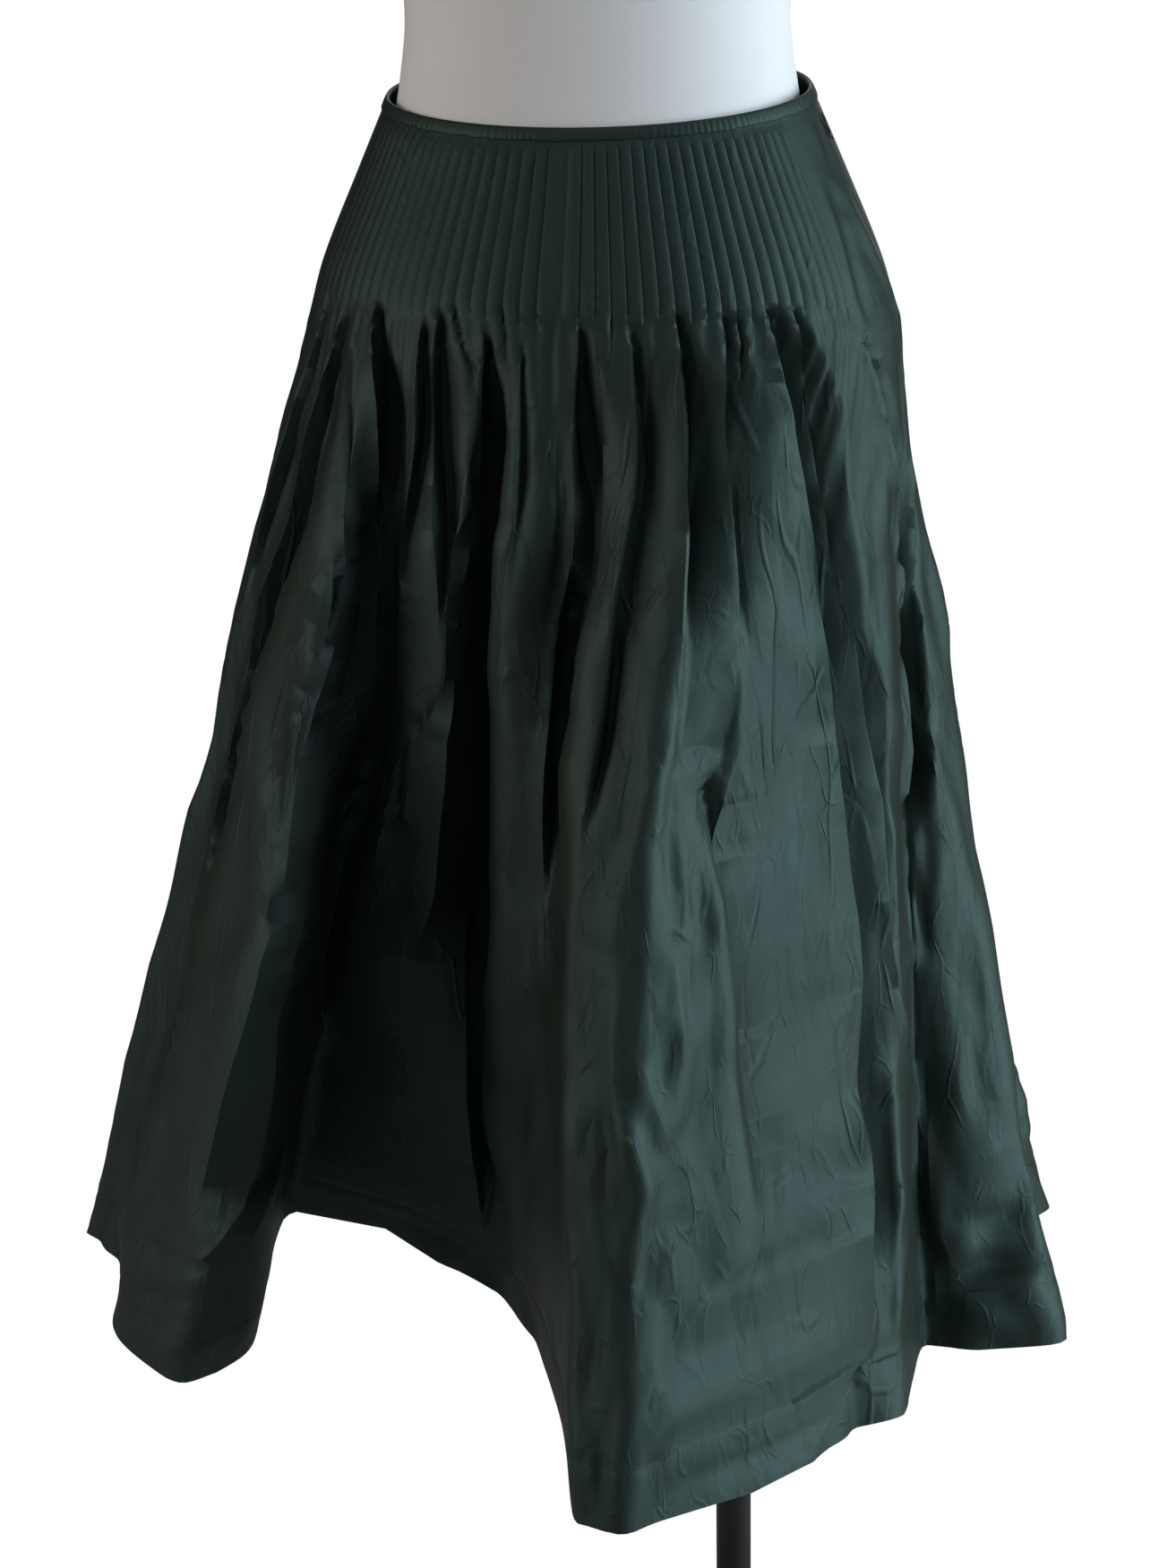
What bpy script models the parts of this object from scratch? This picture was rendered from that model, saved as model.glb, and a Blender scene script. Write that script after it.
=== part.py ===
"""A pin-tucked a-line skirt on a limbless dress form with a pole stand.

The skirt is two cloth panels, front and back, sewn at the sides. Pin tucks hold
each panel flat over the hips. Below the tucks the cloth is released into small
gathers, which run together into a few deep folds at the hem. Metres, +Z up, the
skirt's front faces -Y, and the origin is the middle of the base's underside.
"""
import math

import bmesh
import bpy
import numpy as np

# ---------------------------------------------------------------- the stand
BASE_RADIUS = 0.180
BASE_THICKNESS = 0.009
POLE_RADIUS = 0.0125
COLLAR_RADIUS = 0.024
FOOT_COLLAR_HEIGHT = 0.022
SOCKET_HEIGHT = 0.030
FIT_GAP = 0.0003           # between pieces that touch

# ---------------------------------------------------------------- the skirt
WAIST_HEIGHT = 1.200       # the waist edge at the sides, above the floor
SKIRT_AXIS = (-0.070, -0.065)   # the middle of form and skirt, off the pole
WAIST_DIP = 0.014          # the waist edge is lower in front, higher behind
CLOTH_WALL = 0.0012
HEM_WALL = 0.0020          # the hem is turned up, so the wall is double there
SEAM_GAP = 0.0003
YOKE_DROP = 0.135          # depth of the tucked yoke
KNEE_DROP = 0.450          # depth at which the folds' second position is given
HEM_DROP = 0.800           # depth of the hem below the waist edge

# Half width and half depth of the yoke at four depths.
YOKE_SECTIONS = (
    # drop, half_width, half_depth
    (0.000, 0.130, 0.100),
    (0.040, 0.148, 0.113),
    (0.100, 0.174, 0.133),
    (0.135, 0.184, 0.141),
)

# Pin tucks in each quarter of the yoke, and the plain cloth at the middles.
TUCKS_PER_QUARTER = 19
TUCK_PITCH = 3.2           # degrees
PLAIN_HALF = 4.5           # degrees of plain cloth each side of a middle
TUCK_CREST = 0.85          # share of the pitch where the folded edge stands
TUCK_HEIGHT = 0.0018
TUCK_TOP = 0.008
TUCK_FULL = 0.014
TUCK_END = 0.128
TUCK_RELEASE = 0.142       # where the released cloth is smooth again
PLAIN_STEPS = 7            # columns in the plain cloth beside a side seam

# Each row is one fold line, in order round the skirt. Angles are degrees from
# the middle front, growing towards the wearer's left; radii are from the
# skirt's axis. yoke: where the line leaves the tucks.
FOLD_LINES = (
    # yoke, knee_angle, knee_radius, hem_angle, hem_radius, hem_lift
    (-92, -96, 0.222, -100, 0.255, 0.010),     # valley at the right side seam
    (-78, -78, 0.274, -89, 0.391, 0.000),      # right side fold
    (-64, -69, 0.252, -82, 0.345, 0.000),
    (-56, -51, 0.258, -65, 0.348, 0.000),      # right front fold, outer edge
    (-48, -37, 0.260, -48, 0.319, 0.000),      # right front fold, face
    (-41, -37, 0.237, -54, 0.259, 0.000),
    (-37, -47, 0.204, -70, 0.242, 0.000),
    (-33, -53, 0.181, -81, 0.233, 0.045),      # hollow beside it
    (-28, -41, 0.174, -81, 0.183, 0.045),
    (-21, -34, 0.163, -70, 0.145, 0.040),
    (-14, -24, 0.159, -58, 0.119, 0.030),
    (-11, -34, 0.130, -50, 0.105, 0.025),      # narrow deep trough
    (-9, -26, 0.121, -46, 0.094, 0.015),
    (-5, -13, 0.157, -36, 0.089, 0.010),
    (1, -2, 0.161, -15, 0.109, 0.000),         # side of the centre fold
    (7, 3, 0.168, 4, 0.206, 0.000),
    (12, 7, 0.217, 9, 0.320, 0.000),
    (28, 19, 0.241, 14, 0.331, 0.000),         # ridge of the centre fold
    (45, 33, 0.217, 31, 0.295, 0.000),         # broad face of the centre fold
    (57, 48, 0.193, 39, 0.275, 0.000),
    (68, 59, 0.197, 48, 0.259, 0.000),
    (80, 76, 0.202, 57, 0.269, 0.000),
    (86, 93, 0.191, 76, 0.224, 0.000),         # tucked behind that face
    (98, 96, 0.215, 74, 0.277, 0.000),         # left side fold
    (105, 104, 0.238, 84, 0.315, 0.000),
    (116, 118, 0.205, 104, 0.235, 0.012),
    (128, 128, 0.245, 121, 0.335, 0.000),      # rear folds
    (140, 140, 0.240, 134, 0.330, 0.000),
    (151, 150, 0.192, 148, 0.215, 0.012),
    (166, 166, 0.238, 164, 0.335, 0.000),
    (179, 179, 0.233, 178, 0.326, 0.000),
    (195, 194, 0.186, 195, 0.205, 0.014),
    (211, 211, 0.237, 211, 0.332, 0.000),
    (223, 224, 0.246, 223, 0.342, 0.000),
    (238, 238, 0.198, 237, 0.228, 0.012),
    (254, 252, 0.250, 250, 0.338, 0.000),
)
FOLD_ROUNDING = 2.0        # degrees over which a fold line is rounded

# Troughs between the gathers below the tucks, one row each.
FRONT_TROUGHS = (
    # angle, half_width, depth, top_drop, end_drop
    (-82, 3.6, 0.007, 0.142, 0.330),
    (-72, 4.5, 0.009, 0.138, 0.420),
    (-58, 3.8, 0.008, 0.142, 0.360),
    (-43, 4.0, 0.007, 0.145, 0.340),
    (-33, 3.4, 0.013, 0.136, 0.430),
    (-24, 3.2, 0.010, 0.140, 0.350),
    (-17, 3.0, 0.008, 0.145, 0.400),
    (-8, 3.6, 0.013, 0.138, 0.460),
    (1, 3.4, 0.008, 0.148, 0.340),
    (12, 3.8, 0.013, 0.136, 0.360),
    (20, 3.2, 0.009, 0.142, 0.430),
    (32, 4.2, 0.014, 0.138, 0.390),
    (40, 3.2, 0.009, 0.136, 0.330),
    (51, 4.0, 0.009, 0.140, 0.480),
    (61, 3.8, 0.009, 0.142, 0.360),
    (70, 3.4, 0.007, 0.138, 0.310),
    (83, 3.8, 0.010, 0.145, 0.440),
)
REAR_TROUGH_FIRST = 101    # degrees
REAR_TROUGH_SPACING = 9.9  # degrees
REAR_TROUGH_COUNT = 17
REAR_TROUGH_HALF = 4.0     # degrees
REAR_TROUGH_DEPTH = 0.009
REAR_TROUGH_END = 0.360

# Depths of the cloth's rows of points below the waist edge.
HEM_BAND_DROP = 0.764      # where the turned hem begins
CLOTH_ROWS = (0.0, TUCK_TOP, TUCK_FULL, 0.070, TUCK_END, TUCK_RELEASE, 0.165, 0.195, 0.235,
              0.290, 0.350, 0.420, 0.510, 0.600, 0.690, HEM_BAND_DROP, HEM_DROP)

# ---------------------------------------------------------------- trims
WAIST_EDGE_DEPTH = 0.007
WAIST_EDGE_WALL = 0.0010
ZIP_TOP = 0.004            # depth of the zip's upper end below the waist edge
ZIP_LENGTH = 0.074
ZIP_TAPE_HALF = 0.007
ZIP_TAPE_WALL = 0.0010
ZIP_PULL_LENGTH = 0.016
ZIP_PULL_WIDTH = 0.005
ZIP_PULL_WALL = 0.0014
ZIP_PULL_TOP = 0.012
ZIP_PULL_LIFT = 0.0002     # over the cloth's curve

# ---------------------------------------------------------------- the form
FORM_SEGMENTS = 36
FORM_SEAT = YOKE_SECTIONS[0][2] - FIT_GAP   # the skirt bears on the form at the middle front
FORM_SECTIONS = (
    # height above the waist edge, half_width, front_depth, back_depth
    (-0.270, 0.142, 0.094, 0.104),
    (-0.255, 0.150, 0.100, 0.112),
    (-0.200, 0.162, 0.110, 0.120),
    (-0.140, 0.161, 0.112, 0.117),
    (-0.085, 0.150, 0.109, 0.107),
    (-0.040, 0.136, 0.104, 0.095),
    (-WAIST_DIP, 0.1265, FORM_SEAT, 0.089),
    (0.012, 0.1215, 0.094, 0.085),
    (0.045, 0.118, 0.090, 0.083),
    (0.085, 0.121, 0.091, 0.086),
    (0.150, 0.133, 0.104, 0.096),
    (0.200, 0.143, 0.123, 0.099),
    (0.245, 0.145, 0.119, 0.101),
    (0.300, 0.146, 0.096, 0.101),
    (0.345, 0.150, 0.078, 0.095),
    (0.375, 0.147, 0.066, 0.085),
    (0.398, 0.120, 0.058, 0.074),
    (0.415, 0.082, 0.052, 0.063),
    (0.432, 0.056, 0.050, 0.054),
    (0.470, 0.051, 0.050, 0.050),
)
FORM_FULLNESS = 0.97       # under 1, the sections are a little squarer than an ellipse
NECK_CAP_HEIGHT = 0.008


def smoothstep(value):
    value = min(max(value, 0.0), 1.0)
    return value * value * (3.0 - 2.0 * value)


def section_at(sections, key):
    """Smoothly read the half width and half depth of a section table."""
    keys = [row[0] for row in sections]
    last = len(sections) - 1
    index = min(max(np.searchsorted(keys, key, side="right") - 1, 0), last - 1)
    low, high = sections[index], sections[index + 1]
    share = (key - low[0]) / (high[0] - low[0])
    before = sections[max(index - 1, 0)]
    after = sections[min(index + 2, last)]
    values = []
    for part in (1, 2):
        span = high[0] - low[0]
        slope_low = (high[part] - before[part]) / (high[0] - before[0]) * span
        slope_high = (after[part] - low[part]) / (after[0] - low[0]) * span
        squared, cubed = share ** 2, share ** 3
        values.append((2 * cubed - 3 * squared + 1) * low[part] + (3 * squared - 2 * cubed) * high[part]
                      + (cubed - 2 * squared + share) * slope_low + (cubed - squared) * slope_high)
    return values


def yoke_point(angle, drop):
    half_width, half_depth = section_at(YOKE_SECTIONS, min(drop, YOKE_DROP))
    turn = math.radians(angle)
    return np.array((half_width * math.sin(turn), -half_depth * math.cos(turn)))


def polar_point(angle, radius):
    turn = math.radians(angle)
    return np.array((radius * math.sin(turn), -radius * math.cos(turn)))


def fold_line_at(angle):
    """Knee point, hem point and hem lift of the straight web between fold lines."""
    turned = (angle - FOLD_LINES[0][0]) % 360.0 + FOLD_LINES[0][0]
    rows = FOLD_LINES + ((FOLD_LINES[0][0] + 360.0,) + FOLD_LINES[0][1:],)
    for low, high in zip(rows, rows[1:]):
        if turned <= high[0]:
            break
    share = (turned - low[0]) / (high[0] - low[0])
    knee = (1 - share) * polar_point(low[1], low[2]) + share * polar_point(high[1], high[2])
    hem = (1 - share) * polar_point(low[3], low[4]) + share * polar_point(high[3], high[4])
    return np.array((*knee, *hem, (1 - share) * low[5] + share * high[5]))


def rounded_fold_line(angle):
    """The same, rounded over FOLD_ROUNDING degrees so that folds have soft edges."""
    offsets = np.linspace(-1.0, 1.0, 7)
    weights = 1.0 - np.abs(offsets) * 0.8
    lines = [fold_line_at(angle + offset * FOLD_ROUNDING) for offset in offsets]
    return np.average(lines, axis=0, weights=weights)


def fall_point(angle, drop, line):
    """Plan position of the cloth below the yoke: a smooth curve from yoke to knee to hem."""
    share = (drop - YOKE_DROP) / (HEM_DROP - YOKE_DROP)
    at_knee = (KNEE_DROP - YOKE_DROP) / (HEM_DROP - YOKE_DROP)
    yoke_weight = (share - at_knee) * (share - 1.0) / at_knee
    knee_weight = share * (1.0 - share) / (at_knee * (1.0 - at_knee))
    hem_weight = share * (share - at_knee) / (1.0 - at_knee)
    return yoke_weight * yoke_point(angle, YOKE_DROP) + knee_weight * line[0:2] + hem_weight * line[2:4]


def all_troughs():
    troughs = list(FRONT_TROUGHS)
    for index in range(REAR_TROUGH_COUNT):
        wander = math.sin(2.4 * index + 0.7)
        troughs.append((REAR_TROUGH_FIRST + REAR_TROUGH_SPACING * index + 1.6 * wander,
                        REAR_TROUGH_HALF, REAR_TROUGH_DEPTH * (1.0 + 0.3 * wander),
                        0.140, REAR_TROUGH_END + 0.05 * wander))
    return troughs


TROUGHS = all_troughs()


def trough_depth(angle, drop):
    """How far the gathers draw the cloth in at a point."""
    total = 0.0
    for centre, half_width, depth, top, end in TROUGHS:
        away = abs((angle - centre + 180.0) % 360.0 - 180.0) / half_width
        if away < 1.0 and top < drop < end:
            rise = smoothstep((drop - top) / 0.030)
            fade = smoothstep((end - drop) / (0.6 * (end - top)))
            total += depth * math.cos(0.5 * math.pi * away) ** 2 * rise * fade
    return total


def tuck_height(crest, drop):
    """Height of a tuck's folded edge above the cloth at one depth."""
    rise = smoothstep((drop - TUCK_TOP) / (TUCK_FULL - TUCK_TOP))
    fall = smoothstep((TUCK_RELEASE - drop) / (TUCK_RELEASE - TUCK_END))
    return crest * TUCK_HEIGHT * rise * fall


def quarter_columns():
    """Angles from a middle to a side seam, each with its crest, 0 or 1."""
    columns = [(0.0, 0.0)]
    for index in range(TUCKS_PER_QUARTER):
        start = PLAIN_HALF + index * TUCK_PITCH
        columns.append((start, 0.0))
        columns.append((start + TUCK_CREST * TUCK_PITCH, 1.0))
    tucks_end = PLAIN_HALF + TUCKS_PER_QUARTER * TUCK_PITCH
    columns += [(float(angle), 0.0) for angle in np.linspace(tucks_end, 90.0, PLAIN_STEPS)]
    return columns


def panel_columns(middle):
    """Columns of one panel from its right side seam to its left, round its middle."""
    quarter = quarter_columns()
    mirrored = [(middle - angle, crest) for angle, crest in reversed(quarter[1:])]
    return mirrored + [(middle + angle, crest) for angle, crest in quarter]


def cloth_grid(columns):
    """Points of the cloth's inner face, rows by columns, in skirt coordinates."""
    grid = np.zeros((len(CLOTH_ROWS), len(columns), 3))
    for column, (angle, _) in enumerate(columns):
        line = rounded_fold_line(angle)
        tilt = -WAIST_DIP * math.cos(math.radians(angle))
        for row, drop in enumerate(CLOTH_ROWS):
            share = max(drop - YOKE_DROP, 0.0) / (HEM_DROP - YOKE_DROP)
            plan = yoke_point(angle, drop) if drop <= YOKE_DROP else fall_point(angle, drop, line)
            height = tilt * (1.0 - smoothstep(drop / YOKE_DROP)) - drop + line[4] * share ** 2
            grid[row, column] = (*plan, height)
    return grid


def outward_normals(grid):
    """Unit normals of a grid whose columns run towards the wearer's left round the front."""
    along = np.gradient(grid, axis=1)
    down = np.gradient(grid, axis=0)
    normals = np.cross(along, -down)
    normals *= -1.0 if np.sum(normals[0] * grid[0]) < 0 else 1.0
    return normals / np.linalg.norm(normals, axis=2, keepdims=True)


def panel_faces(middle):
    """Inner and outer points of one panel."""
    columns = panel_columns(middle)
    step = columns[1][0] - columns[0][0]
    spare = [(columns[0][0] - step, 0.0)] + columns + [(columns[-1][0] + step, 0.0)]
    wide = cloth_grid(spare)
    for row, drop in enumerate(CLOTH_ROWS):
        for column, (angle, _) in enumerate(spare):
            plan = wide[row, column, 0:2]
            centre = yoke_point(angle, YOKE_DROP) if drop < KNEE_DROP else plan
            inward = -centre / np.linalg.norm(centre)
            wide[row, column, 0:2] = plan + inward * trough_depth(angle, drop)
    normals = outward_normals(wide)[:, 1:-1]
    inner = wide[:, 1:-1].copy()
    for end, neighbour in ((0, 1), (-1, -2)):
        towards = inner[:, neighbour] - inner[:, end]
        towards /= np.linalg.norm(towards, axis=1, keepdims=True)
        inner[:, end] += towards * SEAM_GAP / 2
    outer = inner.copy()
    for row, drop in enumerate(CLOTH_ROWS):
        wall = HEM_WALL if drop >= HEM_BAND_DROP else CLOTH_WALL
        for column, (_, crest) in enumerate(columns):
            outer[row, column] += normals[row, column] * (wall + tuck_height(crest, drop))
    return inner, outer, normals


def grid_quads(rows, columns, index):
    for row in range(rows - 1):
        for column in range(columns - 1):
            yield (index(row, column), index(row + 1, column),
                   index(row + 1, column + 1), index(row, column + 1))


def wall_mesh(inner, outer):
    """A closed wall between two grids of points."""
    rows, columns = inner.shape[:2]
    points = [tuple(point) for point in np.concatenate((outer.reshape(-1, 3), inner.reshape(-1, 3)))]
    count = rows * columns
    faces = list(grid_quads(rows, columns, lambda row, column: row * columns + column))
    faces += [tuple(count + corner for corner in reversed(face)) for face in faces]
    border = [(0, column) for column in range(columns)]
    border += [(row, columns - 1) for row in range(1, rows)]
    border += [(rows - 1, column) for column in range(columns - 2, -1, -1)]
    border += [(row, 0) for row in range(rows - 2, 0, -1)]
    loop = [row * columns + column for row, column in border]
    for first, second in zip(loop, loop[1:] + loop[:1]):
        faces.append((first, second, count + second, count + first))
    return points, faces


def new_object(name, points, faces, material, parent=None, smooth_angle=40.0):
    mesh = bpy.data.meshes.new(name)
    mesh.from_pydata(points, [], faces)
    builder = bmesh.new()
    builder.from_mesh(mesh)
    bmesh.ops.recalc_face_normals(builder, faces=builder.faces)
    builder.to_mesh(mesh)
    builder.free()
    mesh.shade_smooth()
    mesh.set_sharp_from_angle(angle=math.radians(smooth_angle))
    mesh.materials.append(material)
    item = bpy.data.objects.new(name, mesh)
    item.parent = parent
    bpy.context.collection.objects.link(item)
    return item


def new_material(name, colour, roughness, metallic=0.0):
    material = bpy.data.materials.new(name)
    material.use_nodes = True
    shader = material.node_tree.nodes["Principled BSDF"]
    shader.inputs["Base Color"].default_value = (*colour, 1.0)
    shader.inputs["Roughness"].default_value = roughness
    shader.inputs["Metallic"].default_value = metallic
    return material


def ring_mesh(profile_rings):
    """A closed ring from four rings of points, given round its cross-section."""
    count = len(profile_rings[0])
    points = [tuple(point) for ring in profile_rings for point in ring]
    faces = []
    for side in range(4):
        following = (side + 1) % 4
        for index in range(count):
            after = (index + 1) % count
            faces.append((side * count + index, side * count + after,
                          following * count + after, following * count + index))
    return points, faces


def make_panel(name, middle, material, parent):
    inner, outer, normals = panel_faces(middle)
    item = new_object(name, *wall_mesh(inner, outer), material, parent, smooth_angle=35.0)
    return item, outer, normals


def make_waist_edge(faces_of_panels, material, parent):
    """The narrow binding round the waist edge, laid on both panels' outer points."""
    tops, bottoms, normals = [], [], []
    for outer, panel_normals in faces_of_panels:
        share = WAIST_EDGE_DEPTH / TUCK_TOP
        tops += list(outer[0])
        bottoms += list((1 - share) * outer[0] + share * outer[1])
        normals += list(panel_normals[0])
    tops, bottoms, normals = np.array(tops), np.array(bottoms), np.array(normals)
    near, far = normals * FIT_GAP, normals * (FIT_GAP + WAIST_EDGE_WALL)
    points, faces = ring_mesh((tops + near, tops + far, bottoms + far, bottoms + near))
    return new_object("waist_edge", points, faces, material, parent)


def make_side_zip(material, parent):
    """The concealed zip's tape, just inside the wearer's left side seam."""
    rows = np.linspace(ZIP_TOP, ZIP_LENGTH, 6)
    near, far = [], []
    for drop in rows:
        for side in (-1.0, 0.0, 1.0):
            half_width, half_depth = section_at(YOKE_SECTIONS, drop)
            angle = 90.0 + math.degrees(side * ZIP_TAPE_HALF / half_depth)
            point = yoke_point(angle, drop)
            turn = math.radians(angle)
            inward = np.array((-math.sin(turn) / half_width, math.cos(turn) / half_depth))
            inward /= np.linalg.norm(inward)
            near.append((*(point + inward * FIT_GAP * 2), -drop))
            far.append((*(point + inward * (FIT_GAP * 2 + ZIP_TAPE_WALL)), -drop))
    near = np.array(near).reshape(len(rows), 3, 3)
    far = np.array(far).reshape(len(rows), 3, 3)
    return new_object("side_zip", *wall_mesh(far, near), material, parent)


def make_zip_pull(material, parent):
    """The small drop-shaped pull that lies on the seam at the top of the zip."""
    half_width, _ = section_at(YOKE_SECTIONS, ZIP_PULL_TOP)
    out = half_width + CLOTH_WALL + 3 * FIT_GAP + ZIP_PULL_LIFT
    lower_half_width, _ = section_at(YOKE_SECTIONS, ZIP_PULL_TOP + ZIP_PULL_LENGTH)
    slope = (lower_half_width - half_width) / ZIP_PULL_LENGTH
    outline = []
    for step in range(16):
        turn = 2.0 * math.pi * step / 16
        along = 0.5 * (1.0 - math.cos(turn))
        width = 0.5 * ZIP_PULL_WIDTH * math.sin(turn) * (0.55 + 0.45 * along)
        outline.append((width, along * ZIP_PULL_LENGTH))
    points = []
    for wall in (0.0, ZIP_PULL_WALL):
        points += [(out + wall + slope * along, width, -ZIP_PULL_TOP - along)
                   for width, along in outline]
    count = len(outline)
    faces = [tuple(range(count)), tuple(range(2 * count - 1, count - 1, -1))]
    faces += [(index, (index + 1) % count, count + (index + 1) % count, count + index)
              for index in range(count)]
    return new_object("zip_pull", points, faces, material, parent)


def make_form(material, parent):
    """The smooth limbless torso, closed at the seat and at the neck."""
    points = []
    for height, half_width, front_depth, back_depth in FORM_SECTIONS:
        for step in range(FORM_SEGMENTS):
            turn = 2.0 * math.pi * step / FORM_SEGMENTS
            side = math.copysign(abs(math.sin(turn)) ** FORM_FULLNESS, math.sin(turn))
            ahead = math.copysign(abs(math.cos(turn)) ** FORM_FULLNESS, math.cos(turn))
            depth = front_depth if ahead > 0 else back_depth
            points.append((half_width * side, -depth * ahead, height))
    faces = [tuple(range(FORM_SEGMENTS))]
    for row in range(len(FORM_SECTIONS) - 1):
        for step in range(FORM_SEGMENTS):
            after = (step + 1) % FORM_SEGMENTS
            low, high = row * FORM_SEGMENTS, (row + 1) * FORM_SEGMENTS
            faces.append((low + step, low + after, high + after, high + step))
    top = (len(FORM_SECTIONS) - 1) * FORM_SEGMENTS
    faces.append(tuple(range(top, top + FORM_SEGMENTS)))
    return new_object("dress_form", points, faces, material, parent, smooth_angle=50.0)


def make_cylinder(name, radius, low, high, material, centre=(0.0, 0.0), segments=40, bevel=0.0008):
    builder = bmesh.new()
    bmesh.ops.create_cone(builder, cap_ends=True, segments=segments, radius1=radius,
                          radius2=radius, depth=high - low)
    rims = [edge for edge in builder.edges if abs(edge.verts[0].co.z - edge.verts[1].co.z) < 1e-6]
    bmesh.ops.bevel(builder, geom=rims, offset=bevel, segments=1, affect="EDGES")
    mesh = bpy.data.meshes.new(name)
    builder.to_mesh(mesh)
    builder.free()
    mesh.shade_smooth()
    mesh.set_sharp_from_angle(angle=math.radians(40.0))
    mesh.materials.append(material)
    item = bpy.data.objects.new(name, mesh)
    item.location = (*centre, (low + high) / 2)
    bpy.context.collection.objects.link(item)
    return item


def make_collar(name, low, high, material):
    """A ring round the pole."""
    count = 32
    rings = []
    for radius, height in ((POLE_RADIUS + FIT_GAP, low), (COLLAR_RADIUS, low),
                           (COLLAR_RADIUS, high), (POLE_RADIUS + FIT_GAP, high)):
        turns = [2.0 * math.pi * step / count for step in range(count)]
        rings.append([(radius * math.cos(turn), radius * math.sin(turn), height) for turn in turns])
    return new_object(name, *ring_mesh(rings), material)


def clear_scene():
    for item in list(bpy.data.objects):
        bpy.data.objects.remove(item)


def main():
    clear_scene()
    taffeta = new_material("green_taffeta", (0.035, 0.060, 0.055), 0.45)
    binding = new_material("green_binding", (0.032, 0.055, 0.050), 0.55)
    tape = new_material("zip_tape", (0.020, 0.032, 0.030), 0.7)
    zip_metal = new_material("dark_zip_metal", (0.05, 0.05, 0.05), 0.35, 1.0)
    jersey = new_material("white_jersey", (0.80, 0.80, 0.78), 0.75)
    black_metal = new_material("black_metal", (0.012, 0.012, 0.013), 0.4)

    skirt = bpy.data.objects.new("skirt_axis", None)
    skirt.location = (*SKIRT_AXIS, WAIST_HEIGHT)
    bpy.context.collection.objects.link(skirt)

    _, front_outer, front_normals = make_panel("front_panel", 0.0, taffeta, skirt)
    _, back_outer, back_normals = make_panel("back_panel", 180.0, taffeta, skirt)
    make_waist_edge(((front_outer, front_normals), (back_outer, back_normals)), binding, skirt)
    make_side_zip(tape, skirt)
    make_zip_pull(zip_metal, skirt)
    make_form(jersey, skirt)

    form_bottom = WAIST_HEIGHT + FORM_SECTIONS[0][0]
    form_top = WAIST_HEIGHT + FORM_SECTIONS[-1][0]
    make_cylinder("neck_cap", FORM_SECTIONS[-1][1] - 0.002, form_top + FIT_GAP,
                  form_top + FIT_GAP + NECK_CAP_HEIGHT, black_metal, SKIRT_AXIS, 36, 0.002)
    make_cylinder("base_plate", BASE_RADIUS, 0.0, BASE_THICKNESS, black_metal, segments=64, bevel=0.002)
    make_cylinder("pole", POLE_RADIUS, BASE_THICKNESS + FIT_GAP, form_bottom - FIT_GAP,
                  black_metal, segments=24)
    make_collar("foot_collar", BASE_THICKNESS + FIT_GAP,
                BASE_THICKNESS + FIT_GAP + FOOT_COLLAR_HEIGHT, black_metal)
    make_collar("form_socket", form_bottom - FIT_GAP - SOCKET_HEIGHT, form_bottom - FIT_GAP, black_metal)


main()
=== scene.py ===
"""An a-line skirt with pin tucks over the hips, on a limbless dress form with a pole stand.

Laid out as a Blender add-on and run as a script. The cloth is one ring of points, worked out
from the sizes of its yoke, its fold lines and its gathers, and cut into a front and a back panel
at the side seams. A cloth simulation adds the crumples that crisp taffeta keeps. Metres, +Z up;
the skirt's front faces -Y and the wearer's left is +X.
"""
import math

import bmesh
import bpy
import numpy as np
from bpy.props import FloatProperty, FloatVectorProperty, PointerProperty
from mathutils import Matrix, Vector


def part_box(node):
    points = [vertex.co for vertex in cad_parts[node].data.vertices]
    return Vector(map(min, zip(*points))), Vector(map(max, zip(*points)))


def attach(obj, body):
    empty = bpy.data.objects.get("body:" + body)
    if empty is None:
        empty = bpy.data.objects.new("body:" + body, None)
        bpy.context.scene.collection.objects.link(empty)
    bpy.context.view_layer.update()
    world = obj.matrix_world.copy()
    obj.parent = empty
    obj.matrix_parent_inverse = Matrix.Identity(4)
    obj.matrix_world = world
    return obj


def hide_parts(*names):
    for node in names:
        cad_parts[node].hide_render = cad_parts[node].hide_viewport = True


bl_info = {
    "name": "Pin-tucked skirt on a dress form",
    "version": (1, 0, 0),
    "blender": (4, 5, 0),
    "location": "3D View > Sidebar > Skirt",
    "description": "Builds the skirt, its dress form and stand, and a plain studio round them",
    "category": "Object",
}

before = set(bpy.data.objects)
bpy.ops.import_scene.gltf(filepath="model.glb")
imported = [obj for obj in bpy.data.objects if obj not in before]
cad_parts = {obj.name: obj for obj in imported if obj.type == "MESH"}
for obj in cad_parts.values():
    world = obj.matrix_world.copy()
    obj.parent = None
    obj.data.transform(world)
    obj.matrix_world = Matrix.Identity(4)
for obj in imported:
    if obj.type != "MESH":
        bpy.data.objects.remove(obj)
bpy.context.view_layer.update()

# ---------------------------------------------------------------- places from the frame
POLE_LOW, POLE_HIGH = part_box("pole")
EDGE_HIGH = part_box("waist_edge")[1]
WAIST_DIP = 0.014          # the waist edge is lower in front, higher behind
WAIST_HEIGHT = EDGE_HIGH.z - WAIST_DIP
SKIRT_AXIS = np.array((-0.070, -0.065))
SKIRT_PLACE = np.array((*SKIRT_AXIS, WAIST_HEIGHT))


def in_metres(columns, rows):
    """A table's rows, with those columns and the drops of places turned from millimetres to metres."""
    return tuple(tuple(in_metres((0,), value) if isinstance(value, tuple)
                       else value / 1000.0 if column in columns else value
                       for column, value in enumerate(row)) for row in rows)


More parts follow.
